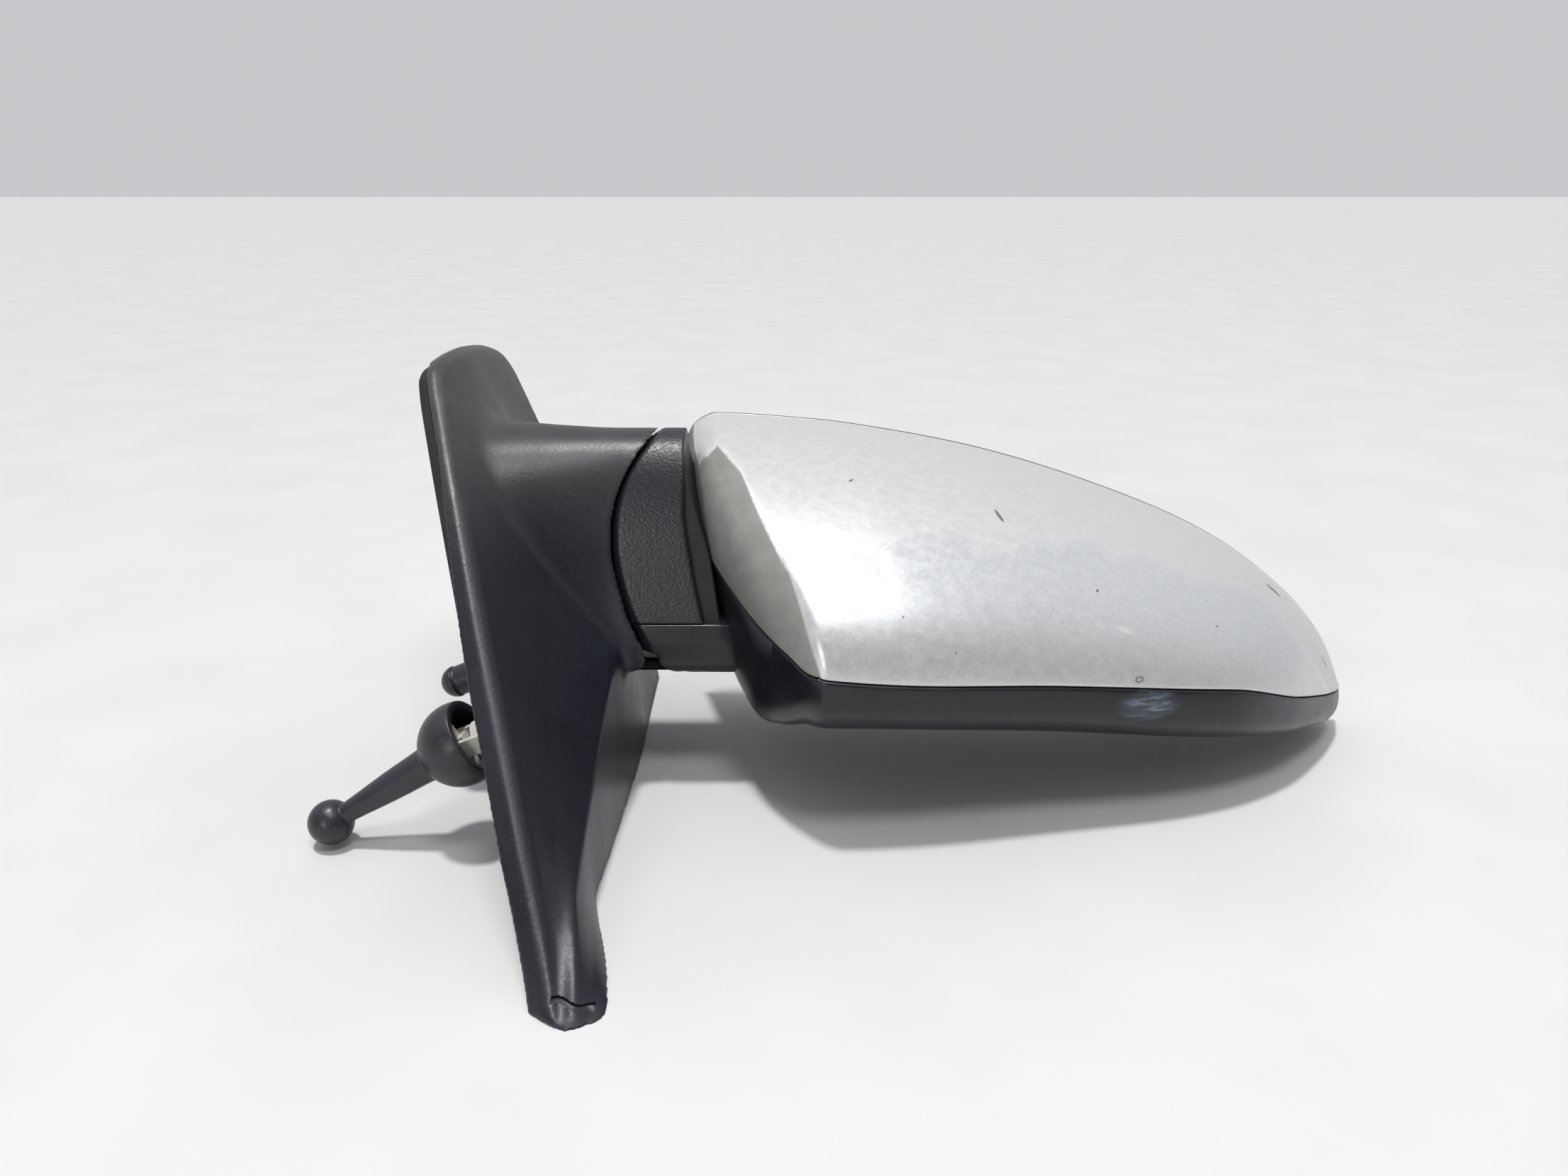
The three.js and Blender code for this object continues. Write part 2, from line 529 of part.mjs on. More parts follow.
function locatingPeg() {
  const tip = -PEG.length;
  const end = solid(new THREE.SphereGeometry(PEG.r, 20, 10).translate(tip, PEG.y, PEG.z));
  return joined(
    acrossSail(PEG.y, PEG.z, tip, GASKET, PEG.r, 20), end, acrossSail(PEG.y, PEG.z, GASKET - 0.5, BRACKET_TOP, PEG.shankR, 16),
  );
}

function leverSocket() {
  const { x, y, z } = LEVER;
  const flange = acrossSail(y, z, 0.4, GASKET, 10.3, 28);
  const post = acrossSail(y, z, x + 5, BRACKET_TOP, SOCKET_R, 20);
  const bar = block([x + 4.6, y - 5.6, z - 2.4], [x + 7.4, y + 5.6, z + 2.4]);
  const ears = [-5.6, 3.8].map((from) => block([x - 2.4, y + from, z - 2.4], [x + 5, y + from + 1.8, z + 2.4]));
  const pinHole = rod(vec(x, y - 9, z), vec(x, y + 9, z), PIN_HOLE_R, 16);
  return without(joined(flange, post, bar, ...ears), pinHole, moved(baseLoom(0.4), sail, true));
}

// A cross of two pins on a small block, centred on its own origin.
function gimbalCross(half, first, second) {
  const body = block([-half, -half, -half], [half, half, half]);
  return joined(body, rod(first.clone().negate(), first, PIN_R, 14), rod(second.clone().negate(), second, PIN_R, 14));
}

// Adjusting lever, along -x of its own frame: a hollow dome, a tapering stalk and a round knob
function adjustingLever() {
  const arc = (radius, from, to, steps, middle = 0) =>
    Array.from({ length: steps + 1 }, (_, i) => {
      const angle = from + ((to - from) * i) / steps;
      return [radius * Math.sin(angle), middle + radius * Math.cos(angle)];
    });
  const inner = arc(DOME_R - DOME_WALL, 0, deg(116), 8);
  const outer = arc(DOME_R, deg(111), deg(27), 9);
  const stalk = [[4.9, 11.6], [4.6, 15], [4.3, 21], [3.7, 29], [3.1, 36], [2.8, 39.4]];
  const knob = arc(KNOB_R, deg(153), 0, 9, LEVER_LENGTH);
  const profile = [...inner, ...outer, ...stalk, ...knob].map(([r, s]) => new THREE.Vector2(Math.max(r, 0), s));
  profile[profile.length - 1].x = 0;
  const body = solid(new THREE.LatheGeometry(profile, 28).rotateZ(Math.PI / 2));
  const bosses = [-1, 1].map((side) => rod(vec(0, 0, 6.4 * side), vec(0, 0, 10.4 * side), 2.6, 14));
  const pinHole = rod(vec(0, 0, -8.6), vec(0, 0, 8.6), PIN_HOLE_R, 16);
  const toward = vec(...RECESS.toward).transformDirection(stick.matrixWorld.clone().invert());
  const recess = rod(toward.clone().multiplyScalar(8), toward.clone().multiplyScalar(14), RECESS.r, 16);
  return without(joined(body, ...bosses), pinHole, recess);
}

// Fold pivot, on the vertical axis
const DETENT_LOW = FOOT.top + GAP;
const DETENT_HIGH = DETENT_LOW + DETENT_THICK + GAP;
const FRAME_LOW = DETENT_HIGH + DETENT_THICK + GAP;
const FRAME_HIGH = FRAME_LOW + FRAME_THICK;

function pivotTube() {
  const bottom = FOOT.low + 0.2;
  const shelf = bottom + TUBE_HEAD.thick;
  const tube = turned([
    [TUBE_BORE, bottom], [TUBE_HEAD.r, bottom], [TUBE_HEAD.r, shelf], [TUBE_R, shelf], [TUBE_R, TUBE_TOP],
    [TUBE_BORE, TUBE_TOP], [TUBE_BORE, bottom],
  ], FOLD.x, FOLD.y, 28);
  return without(tube, baseLoom(0.5));
}

// Both rings have the same three radial grooves, on the faces that meet.
function detentRing(low, grooveHeight) {
  const plain = turned(ring(TUBE_R + GAP, DETENT_R, low, low + DETENT_THICK), FOLD.x, FOLD.y);
  const grooves = [0, 1, 2].map((i) => {
    const turn = (i * 2 * Math.PI) / 3;
    const at = (r) => vec(FOLD.x + r * Math.cos(turn), FOLD.y + r * Math.sin(turn), grooveHeight);
    return rod(at(TUBE_R + 1), at(DETENT_R + 1), 1.2, 8);
  });
  return without(plain, ...grooves);
}

function foldSpring() {
  const low = FRAME_HIGH + GAP + SPRING.wire;
  const high = SPRING.top - SPRING.wire;
  const perTurn = 12;
  const steps = SPRING.turns * perTurn;
  const points = Array.from({ length: steps + 1 }, (_, i) => {
    const turn = (2 * Math.PI * i) / perTurn;
    const height = low + ((high - low) * i) / steps;
    return [FOLD.x + SPRING.r * Math.cos(turn), FOLD.y + SPRING.r * Math.sin(turn), height];
  });
  return tubeAlong(points, SPRING.wire, steps, 6);
}

const springSeat = () => turned(ring(TUBE_R + GAP, 10.2, SPRING.top + GAP, SPRING.top + 1.8), FOLD.x, FOLD.y);
const retainingClip = () => turned(ring(TUBE_R + GAP, 9, SPRING.top + 2.1, SPRING.top + 3.3), FOLD.x, FOLD.y, 24);

// Head: the pieces that fold. The arm's form goes on past the fold gap as the neck.
const neckForm = (inset) => armLoft(14, 84, inset);
const turningSpace = (extra) => joined(foldBarrel(extra, -20, 90), block([FOLD.x, -80, -30], [120, 80, 100]));

// The space inboard of the neck cover's outer end, which leans in towards the top
function inboardOfNeckEnd(gap) {
  const end = [[52.4, -20], [49.8, 12], [46.4, 29], [43.6, 50], [43.9, 80]].map(([x, z]) => [x + gap, z]);
  return plateY([[-40, -20], ...end, [-40, 80]], -80, 80);
}

function neckCover() {
  const above = block([0, -80, NECK_SPLIT], [120, 80, 100]);
  const skin = neckForm(0).intersect(turningSpace(0)).intersect(above).intersect(inboardOfNeckEnd(0));
  const hollow = neckForm(WALL).intersect(turningSpace(-WALL));
  return without(skin, hollow, headLoft(-GAP), headLoomRoute(0.6));
}

const cutForCap = (raise, setBack) => capSpace(raise).intersect(rimFront(setBack));

function mirrorCap() {
  const skin = without(headLoft(0), headLoft(CAP_THICK));
  return skin.intersect(cutForCap(GAP, CAP_REAR + GAP));
}

// The lower half of the neck
const neckChin = () => neckForm(0).intersect(turningSpace(0)).intersect(block([0, -80, -30], [62, 80, NECK_SPLIT - GAP]));

// The room in which the bracket's lug swings, as seen from the shell
function lugRoom() {
  const depth = FOOT.top - LUG.low + 1.2;
  return LUG_SWING.map(({ r, half }) => {
    const swing = new THREE.Shape().absarc(0, 0, r, Math.PI - half, Math.PI + half).lineTo(0, 0);
    const sector = new THREE.ExtrudeGeometry(swing, { depth, bevelEnabled: false });
    return solid(sector.translate(FOLD.x, FOLD.y, LUG.low - 0.6));
  });
}

// A step between the neck cover and the shell's side, seen from the front in [x, z]
const COLLAR_SIDE = [[30, NECK_SPLIT - 3], [54.6, NECK_SPLIT - 3], [54, 17], [51.7, 34], [46.8, 52], [46, 56], [30, 56]];
function neckCollar() {
  const strip = neckForm(COLLAR_INSET).intersect(plateY(COLLAR_SIDE, -80, 15));
  return without(strip, inboardOfNeckEnd(GAP), disc(COLUMN_R, -60, 60));
}

function housingShell() {
  const under = CAP_THICK + GAP;
  const main = joined(without(headLoft(0), cutForCap(0, CAP_REAR)), headLoft(under));
  const body = joined(main, neckChin(), without(neckCollar(), headLoft(-GAP).intersect(capSpace(-GAP))));
  const bowl = without(body, headLoft(under + WALL, 6));
  const posts = SHELL_POSTS.map(([x, z]) =>
    moved(rod(vec(x, -110, z), vec(x, PLATE_REAR - PLATE_THICK - GAP, z), 4, 14), rim).intersect(headLoft(under + 0.6)));
  const bores = SHELL_POSTS.map(([x, z]) => moved(rod(vec(x, -50, z), vec(x, -30, z), SCREW_R + GAP, 12), rim));
  const doorway = block([FOLD.x, -5, DETENT_LOW], [72, 21, TUBE_TOP]);
  const column = disc(COLUMN_R, -60, TUBE_TOP + 1);
  return without(joined(bowl, ...posts), ...bores, doorway, column, ...lugRoom(), headLoomRoute(0.8));
}

function headFrame() {
  const floor = turned(ring(TUBE_R + GAP, DETENT_R, FRAME_LOW, FRAME_HIGH), FOLD.x, FOLD.y);
  const web = without(block([FOLD.x + 6, 1, FRAME_LOW], [90, 15, FRAME_HIGH]), disc(TUBE_R + GAP, 0, 30));
  const gusset = loft([[66, FRAME_HIGH], [78, 22], [90, 29]].map(([x, top]) => [
    vec(x, 6, FRAME_LOW), vec(x, 10, FRAME_LOW), vec(x, 10, top), vec(x, 6, top),
  ]));
  const outline = [[-58, -13], [42, -15], [60, -12], [60, 2], [20, 28], [-58, 34]];
  const plate = plateY(outline, PLATE_REAR - PLATE_THICK, PLATE_REAR);
  const screws = SHELL_POSTS.map(([x, z]) => rod(vec(x, -40, z), vec(x, -20, z), SCREW_R + 0.5, 12));
  const pads = MOUNT_SCREWS.map(([x, z]) => rod(vec(x, -40, z), vec(x, -20, z), SCREW_R + GAP, 12));
  return joined(floor, web, gusset, moved(without(plate, ...screws, ...pads), rim));
}

function frameScrew([x, z]) {
  const seat = PLATE_REAR + GAP;
  const head = rod(vec(x, seat, z), vec(x, seat + SCREW_HEAD, z), SCREW_HEAD_R, 14);
  return joined(head, rod(vec(x, seat - 13, z), vec(x, seat + 0.5, z), SCREW_R, 10));
}

function glassPivotMount() {
  const base = rod(vec(0, MOUNT_BACK, 0), vec(0, MOUNT_BACK + MOUNT_BASE.thick, 0), MOUNT_BASE.r, 36);
  const post = rod(vec(0, MOUNT_BACK, 0), vec(0, PIVOT_Y - 4.2, 0), 7.4, 24);
  const ears = [-7.2, 5].map((from) => block([-3, PIVOT_Y - 6, from], [3, PIVOT_Y + 2.8, from + 2.2]));
  const pinHole = rod(vec(0, PIVOT_Y, -9), vec(0, PIVOT_Y, 9), PIN_HOLE_R, 16);
  const screws = MOUNT_SCREWS.map(([x, z]) => rod(vec(x, -40, z), vec(x, -20, z), SCREW_R + GAP, 12));
  return without(joined(base, post, ...ears), pinHole, ...screws);
}

function mountScrew([x, z]) {
  const seat = MOUNT_BACK + MOUNT_BASE.thick + GAP;
  const head = rod(vec(x, seat, z), vec(x, seat + 1.6, z), 2.8, 12);
  return joined(head, rod(vec(x, seat - 6, z), vec(x, seat + 0.5, z), SCREW_R, 10));
}

function cableGuide() {
  const made = block([-36, MOUNT_BACK, 8], [-27, MOUNT_BACK + 8.6, 20]);
  return without(made, moved(headLoomRoute(0.3), rim, true));
}

// Glass: outline of the housing's rear opening, drawn in inside it
function glassOutline(inset) {
  const inner = rim.matrixWorld.clone().invert();
  const stations = HEAD_STATIONS.filter((x) => x > 43 && x < 243);
  const edge = (angle) => stations.map((x) => headPoint(x, angle, inset).applyMatrix4(inner)).map((p) => [p.x, p.z]);
  const lower = edge(-Math.PI / 2);
  const upper = edge(Math.PI / 2).reverse();
  return [...lower, ...upper];
}

const glassPlate = (inset, rear, thick) => plateY(glassOutline(inset), rear - thick, rear);
const PAD_REAR = GLASS_FACE - GLASS_THICK - GAP;
const CARRIER_REAR = PAD_REAR - PAD_THICK - GAP;
const CARRIER_FRONT = CARRIER_REAR - CARRIER_THICK;

function glassCarrier() {
  const plate = glassPlate(CARRIER_INSET, CARRIER_REAR, CARRIER_THICK);
  const ears = [-8.6, 6.4].map((from) => block([from, PIVOT_Y - 2.8, -3], [from + 2.2, CARRIER_FRONT + 1, 3]));
  return without(joined(plate, ...ears), rod(vec(-10, PIVOT_Y, 0), vec(10, PIVOT_Y, 0), PIN_HOLE_R, 16));
}

function cableNipple([x, z]) {
  return rod(vec(x, CARRIER_FRONT - 4, z), vec(x, CARRIER_FRONT - GAP, z), 2, 12, 1.5);
}

const counted = (group, name, places, make, finish) =>
  places.forEach((at, i) => place(group, `${name}_${i + 1}`, make(at), finish));

const stick = new THREE.Group();
stick.position.set(LEVER.x, LEVER.y, LEVER.z);
stick.rotation.y = -LEVER.droop;
sail.add(stick);
part.updateMatrixWorld(true);

place(sail, "sail_cover", sailCover(), black);
place(sail, "door_gasket", doorGasket(), rubber);
place(part, "mount_bracket", mountBracket(), casting);
counted(sail, "captive_nut", DOOR_NUTS, captiveNut, steel);
counted(sail, "cover_screw", COVER_SCREWS, coverScrew, steel);
place(sail, "locating_peg", locatingPeg(), black);
place(sail, "lever_socket", leverSocket(), nylon);
place(part, "base_cable_loom", baseLoom(0), rubber);
place(part, "pivot_tube", pivotTube(), steel);
place(part, "lower_detent_ring", detentRing(DETENT_LOW, DETENT_LOW + DETENT_THICK), steel);
place(part, "fold_spring", foldSpring(), steel);
place(part, "spring_seat", springSeat(), steel);
place(part, "retaining_clip", retainingClip(), steel);

place(stick, "lever_gimbal", gimbalCross(2.2, vec(0, 5.5, 0), vec(0, 0, 8)), nylon);
place(stick, "adjusting_lever", adjustingLever(), black);

place(part, "neck_cover", neckCover(), black);
place(part, "upper_detent_ring", detentRing(DETENT_HIGH, DETENT_HIGH), steel);
place(part, "head_frame", headFrame(), nylon);
place(part, "housing_shell", housingShell(), gloss);
place(part, "mirror_cap", mirrorCap(), silver);
counted(rim, "frame_screw", SHELL_POSTS, frameScrew, steel);
place(rim, "glass_pivot_mount", glassPivotMount(), nylon);
counted(rim, "mount_screw", MOUNT_SCREWS, mountScrew, steel);
place(rim, "cable_guide", cableGuide(), nylon);
place(part, "head_cable_loom", headLoomRoute(0), rubber);

place(rim, "glass_gimbal", gimbalCross(2.4, vec(0, 0, 6.9), vec(8, 0, 0)).translate([0, PIVOT_Y, 0]), nylon);
place(rim, "glass_carrier", glassCarrier(), black);
place(rim, "adhesive_pad", glassPlate(PAD_INSET, PAD_REAR, PAD_THICK), rubber);
place(rim, "mirror_glass", glassPlate(GLASS_INSET, GLASS_FACE, GLASS_THICK), mirrorFinish);
counted(rim, "cable_nipple", NIPPLES, cableNipple, steel);

export default part;
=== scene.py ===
import math

import bmesh
import bpy
import numpy as np
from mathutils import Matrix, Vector
from mathutils.bvhtree import BVHTree


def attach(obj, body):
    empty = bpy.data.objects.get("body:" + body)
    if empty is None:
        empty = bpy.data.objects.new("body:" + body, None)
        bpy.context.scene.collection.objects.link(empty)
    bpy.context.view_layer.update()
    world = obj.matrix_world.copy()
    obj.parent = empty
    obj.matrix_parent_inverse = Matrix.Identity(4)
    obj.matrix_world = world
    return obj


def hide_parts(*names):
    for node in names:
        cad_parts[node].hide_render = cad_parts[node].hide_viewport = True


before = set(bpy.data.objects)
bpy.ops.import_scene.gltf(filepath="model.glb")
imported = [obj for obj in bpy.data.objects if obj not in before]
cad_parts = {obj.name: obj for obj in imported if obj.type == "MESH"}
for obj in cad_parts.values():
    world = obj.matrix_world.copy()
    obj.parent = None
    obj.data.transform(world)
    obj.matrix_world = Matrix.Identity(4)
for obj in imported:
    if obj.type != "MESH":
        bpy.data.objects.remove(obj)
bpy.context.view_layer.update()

# ---------------------------------------------------------------- dimensions, in millimetres
MM = 0.001
GAP = 0.3
SAIL_LEAN = math.radians(22)
GASKET = 2.8
FLOOR_Z = -36.7
FOLD_X, FOLD_Y = 52.7, 8.0
BALL_R, BALL_Z, BALL_UP, BALL_DOWN = 35.0, 30.0, 41.0, 60.0
FOLD_GAP = 1.3
NECK_SPLIT = 15.4
HEAD_INNER, HEAD_OUTER = 41.0, 258.0
RIM_Y, RIM_SLOPE = 46.0, 0.098
CREASE_X, SWEEP, SWEEP_LOW, SWEEP_TOP = 82.0, 31.0, 15.0, 64.0
UPPER_POWER, LOWER_FALL = 1.9, 0.1
CAP_THICK = 2.4
CAP_REAR = 1.2
FOOT_ROOM_R = 12.8
NOSE_SLOT_TOP = [(21.2, -32.5), (26.3, -33.5), (30.6, -35.3)]
NOSE_SLOT_HIGH, NOSE_SLOT_END = 0.75, -118
LEVER_X, LEVER_Y, LEVER_DROOP = -15.0, -52.0, math.radians(10.3)
DOME_R, DOME_HOLLOW_R = 11.6, 9.7
KNOB_R, KNOB_AT = 6.2, 45.3
PEG_Y, PEG_Z, PEG_R, PEG_LENGTH = -20, 7, 4.6, 22.0
GLASS_INSET, GLASS_FACE, GLASS_THICK = 12.4, -4, 2.2


def curve(knots):
    """A smooth function through (position, value) knots that never overshoots them."""
    at = np.array([k[0] for k in knots], float)
    value = np.array([k[1] for k in knots], float)
    rise = np.diff(value) / np.diff(at)
    slope = np.zeros(len(at))
    slope[0], slope[-1] = rise[0], rise[-1]
    for i in range(1, len(at) - 1):
        if rise[i - 1] * rise[i] > 0:
            slope[i] = 2 * rise[i - 1] * rise[i] / (rise[i - 1] + rise[i])

    def f(x):
        x = np.clip(np.asarray(x, float), at[0], at[-1])
        i = np.clip(np.searchsorted(at, x, side="right") - 1, 0, len(at) - 2)
        span = at[i + 1] - at[i]
        t = (x - at[i]) / span
        ease = t * t * (3 - 2 * t)
        pull = slope[i] * (1 - t) - slope[i + 1] * t
        return value[i] * (1 - ease) + value[i + 1] * ease + span * t * (1 - t) * pull

    return f


def smoothstep(a, b, x):
    t = np.clip((np.asarray(x, float) - a) / (b - a), 0, 1)
    return t * t * (3 - 2 * t)


# ---------------------------------------------------------------- the housing's form
head_front = curve([
    (41, 44), (43.8, 29), (47.7, 12), (50, 0), (54.2, -12.5), (60.5, -26), (66.3, -37),
    (73.5, -48), (80.5, -55.5), (84, -57), (100, -56), (148, -47.5), (180, -41), (201, -34),
    (222, -22), (237, -8), (248, 5), (254, 14), (258, 23),
])
head_top = curve([
    (41, 57), (43, 60.5), (46, 63), (50.5, 64.7), (83, 63.2), (106, 60.4), (130, 56.2), (152, 50.7),
    (175, 43.3), (198, 34.4), (214, 26.2), (230, 15), (241, 5), (248, -4), (253, -13.5), (258, -23),
])
head_low = curve([
    (41, -2), (46, -6.2), (52, -8.1), (57, -10), (64, -11.4), (72, -11.5), (82, -11.6),
    (95, -11.8), (142, -15.5), (200, -22), (232, -27), (250, -31.5), (258, -30),
])
head_middle = curve([(41, 34), (54, 30), (66, 22), (82, 12), (150, 4), (200, -6), (235, -17), (258, -26.5)])
crease_share = curve([(41, 0), (82, 1), (100, 0.86), (150, 0), (258, 0)])
lower_power = curve([(41, 2.4), (54, 2.4), (60, 4.3), (66, 7), (72, 4.7), (80, 2.8), (110, 2.6), (258, 2.6)])
split_side = curve([
    (-75, 15), (-55.5, 15), (-48, 18), (-36, 22), (-25, 26), (-12, 30.5),
    (14, 34.5), (30, 41), (41, 49), (46, 57), (60, 75),
])
split_front = curve([(80, 15), (100, 12.8), (148, 8.5), (200, 1), (225, -8), (245, -16.5), (262, -25)])


def rim_plane(x):
    return RIM_Y - RIM_SLOPE * (x - HEAD_INNER)


def head_sweep(station, z):
    over = np.maximum(z - SWEEP_LOW, 0) / (SWEEP_TOP - SWEEP_LOW)
    return SWEEP * over * over * crease_share(station)


def head_crown(station):
    """Height of the housing's top at a station, where its silhouette meets the lean of the crease."""
    z = head_top(station)
    for _ in range(12):
        z = z + (head_top(station - head_sweep(station, z)) - z) / 2
    return z


def head_point(station, angle, inset=0.0, behind=0.0):
    station, angle = np.broadcast_arrays(np.asarray(station, float), np.asarray(angle, float))
    share = (station - HEAD_INNER) / (HEAD_OUTER - HEAD_INNER)
    x = station + inset * (1 - 2 * share)
    middle = head_middle(station)
    sine = np.sin(angle)
    upper = sine > 0
    power = 2 / np.where(upper, UPPER_POWER, lower_power(station))
    crown = head_crown(station)
    reach = np.maximum(rim_plane(x) - head_front(station) - inset, 0.5)
    half = np.maximum(np.where(upper, crown - middle, middle - head_low(station)) - inset, 0.4)
    forward = np.abs(np.cos(angle)) ** power
    rise = np.sign(sine) * half * np.abs(sine) ** power
    fall = np.where(upper, 0, LOWER_FALL * reach * (1 - forward))
    z = middle + rise - fall
    swept = x - head_sweep(station, z)
    y = rim_plane(swept) + behind - (reach + behind) * forward
    return np.stack([swept, y, z], -1)


def split_height(p):
    return np.where(p[..., 0] < CREASE_X, split_side(p[..., 1]), split_front(p[..., 0]))


def split_angle(station, raise_by=0.0):
    """The angle round each section at which the cap's lower edge crosses it."""
    low = np.full(station.shape, -math.pi / 2)
    high = np.full(station.shape, math.pi / 2)
    for _ in range(40):
        middle = (low + high) / 2
        p = head_point(station, middle)
        above = p[..., 2] > split_height(p) + raise_by
        high = np.where(above, middle, high)
        low = np.where(above, low, middle)
    return (low + high) / 2


# ---------------------------------------------------------------- the arm and neck's form
ARM_SECTION = [
    (9, 67), (1, 64.5), (-5, 57.5), (-10.5, 44), (-15, 28), (-18.5, 14), (-19.3, 8.5), (-18, 2.5),
    (-12, -2.4), (-3, -5.4), (12, -6.6), (18.5, -5), (21.5, 2), (22, 25), (21.5, 45), (19.5, 58),
    (15, 65),
]
arm_flare = curve([(-20, 0.75), (-6, 0.42), (8, 0.16), (24, 0), (80, 0)])
neck_end = curve([(-20, 52.4), (12, 49.8), (29, 46.4), (50, 43.6), (80, 43.9)])
collar_end = curve([(-20, 58), (10, 55.2), (17, 53.8), (34, 51.0), (46, 47.2), (56, 44.6), (62, 43.5)])


def closed_curve(points, count):
    """A closed Catmull-Rom curve through the points, with count points at even steps."""
    p = np.array(points, float)
    n = len(p)
    fine = []
    for i in range(n):
        a, b, c, d = p[i - 1], p[i], p[(i + 1) % n], p[(i + 2) % n]
        for t in np.arange(0, 1, 1 / 24):
            fine.append(0.5 * (2 * b + (c - a) * t + (2 * a - 5 * b + 4 * c - d) * t * t
                               + (3 * b - a - 3 * c + d) * t ** 3))
    fine = np.array(fine + [fine[0]])
    length = np.concatenate([[0], np.cumsum(np.linalg.norm(np.diff(fine, axis=0), axis=1))])
    at = np.linspace(0, length[-1], count, endpoint=False)
    return np.stack([np.interp(at, length, fine[:, k]) for k in range(p.shape[1])], -1)


def ball_radius(z):
    half = np.where(z > BALL_Z, BALL_UP, BALL_DOWN)
    across = np.abs((z - BALL_Z) / half) ** 2.2
    return BALL_R * np.sqrt(np.maximum(1 - across, 0.04))


def ball_face(y, z, extra):
    """The inboard side of the fold joint's barrel, as x over y and z."""
    r = ball_radius(z) + extra
    return FOLD_X - np.sqrt(np.maximum(r * r - (y - FOLD_Y) ** 2, 1.0))


def inset_curve(p, inset):
    ahead, behind = np.roll(p, -1, axis=0), np.roll(p, 1, axis=0)
    along = ahead - behind
    along /= np.linalg.norm(along, axis=1, keepdims=True)
    turn = np.sum(p[:, 0] * ahead[:, 1] - p[:, 1] * ahead[:, 0])
    inward = np.stack([-along[:, 1], along[:, 0]], -1) * np.sign(turn)
    return p + inward * inset


def flared(p, x):
    """The arm's section at x: wider towards the sail."""
    grow = arm_flare(x)
    y, z = p[..., 0], p[..., 1]
    wide = 1 + grow * np.where(y < FOLD_Y, 1, 0.35)
    tall = 1 + grow * np.where(z < BALL_Z, 0.45, 0.12)
    return np.stack([FOLD_Y + (y - FOLD_Y) * wide, BALL_Z + (z - BALL_Z) * tall], -1)


# ---------------------------------------------------------------- the sail's form, in its own frame
sail_top = curve([
    (-127.5, -41.4), (-126, -39.6), (-122, -36.8), (-110, -26.5), (-57, 29.8), (-12.6, 74), (0, 86),
    (6, 90), (14, 91.6), (25, 91.8), (45, 90), (58, 87.3), (63, 84.5), (65, 80),
])
sail_foot = curve([(-127.5, -46), (-124, -48), (58, -48), (63, -45), (65, -40)])
crest_height = curve([
    (-127, -38.5), (-122, -36), (-112, -31), (-85, -25.6), (-60, -18), (-35, -8),
    (-15, 0), (8, 5), (30, -2), (50, -14), (65, -24),
])
crest_out = curve([
    (-127, 9), (-122, 11.5), (-112, 12.8), (-85, 14.6), (-60, 17.5), (-35, 22),
    (-15, 27), (6, 29), (22, 20), (36, 13), (50, 11.6), (65, 11.5),
])
foot_out = curve([
    (-127.5, 11), (-124, 16), (-117, 17.3), (-110, 16.4), (-97, 13.2), (-85.5, 9.8),
    (-76, 7.8), (-60, 8.7), (-39.5, 9.6), (-27, 10), (0, 11), (65, 11),
])
flange_out = curve([(-127, 8), (-100, 8.5), (0, 8.5), (30, 11), (65, 11)])


def nose_lean(y, x):
    return np.clip((-98 - y) / 29.5, 0, 1) * (5.5 - 0.62 * np.maximum(x, 0))


def sail_to_row(p):
    c, s = math.cos(SAIL_LEAN), math.sin(SAIL_LEAN)
    x, y, z = p[..., 0], p[..., 1], p[..., 2]
    return np.stack([x * c - z * s, y, x * s + z * c], -1)


def cover_section(y, x0):
    top, foot = float(sail_top(y)), float(sail_foot(y))
    room = max(top - foot, 0.6)
    crest = min(max(float(crest_height(y)), foot + 0.3 * room), foot + 0.6 * room)
    rim = min(5.5, 0.25 * room)
    flange, crest_x, foot_x = float(flange_out(y)), float(crest_out(y)), float(foot_out(y))

    def side(part, a, b):
        return a + (b - a) * part

    points = [
        (x0, foot), (foot_x - 1.2, foot), (foot_x, foot + min(1.5, 0.1 * room)),
        (side(0.5, foot_x, crest_x) - 0.4, side(0.5, foot, crest)), (crest_x, crest),
        (side(0.45, crest_x, flange) - 0.6, side(0.45, crest, top - rim)),
        (flange, top - rim), (flange - 0.6, top - 0.45 * rim), (flange - 3, top), (x0, top),
    ]
    return [(x, y + float(nose_lean(y, x)), z) for x, z in points]


# ---------------------------------------------------------------- mesh helpers
def new_object(name, points, faces):
    mesh = bpy.data.meshes.new(name)
    mesh.from_pydata([tuple(float(c) * MM for c in p) for p in points], [], faces)
    mesh.validate()
    mesh.shade_smooth()
    made = bpy.data.objects.new(name, mesh)
    bpy.context.scene.collection.objects.link(made)
    return made


def grid_faces(rows, columns, around=False, across=False):
    """Quads over a grid of points, closed round its columns or across its rows where asked."""
    faces = []
    for i in range(rows if across else rows - 1):
        for j in range(columns if around else columns - 1):
            a = i * columns + j
            b = i * columns + (j + 1) % columns
            c = ((i + 1) % rows) * columns + (j + 1) % columns
            d = ((i + 1) % rows) * columns + j
            faces.append((a, b, c, d))
    return faces


def outward(made):
    work = bmesh.new()
    work.from_mesh(made.data)
    bmesh.ops.remove_doubles(work, verts=work.verts, dist=1e-6)
    bmesh.ops.recalc_face_normals(work, faces=work.faces)
    work.to_mesh(made.data)
    work.free()
    return made


def apply_all(made):
    bpy.context.view_layer.update()
    ready = made.evaluated_get(bpy.context.evaluated_depsgraph_get())
    mesh = bpy.data.meshes.new_from_object(ready)
    made.modifiers.clear()
    old = made.data
    made.data = mesh
    bpy.data.meshes.remove(old)
    return made


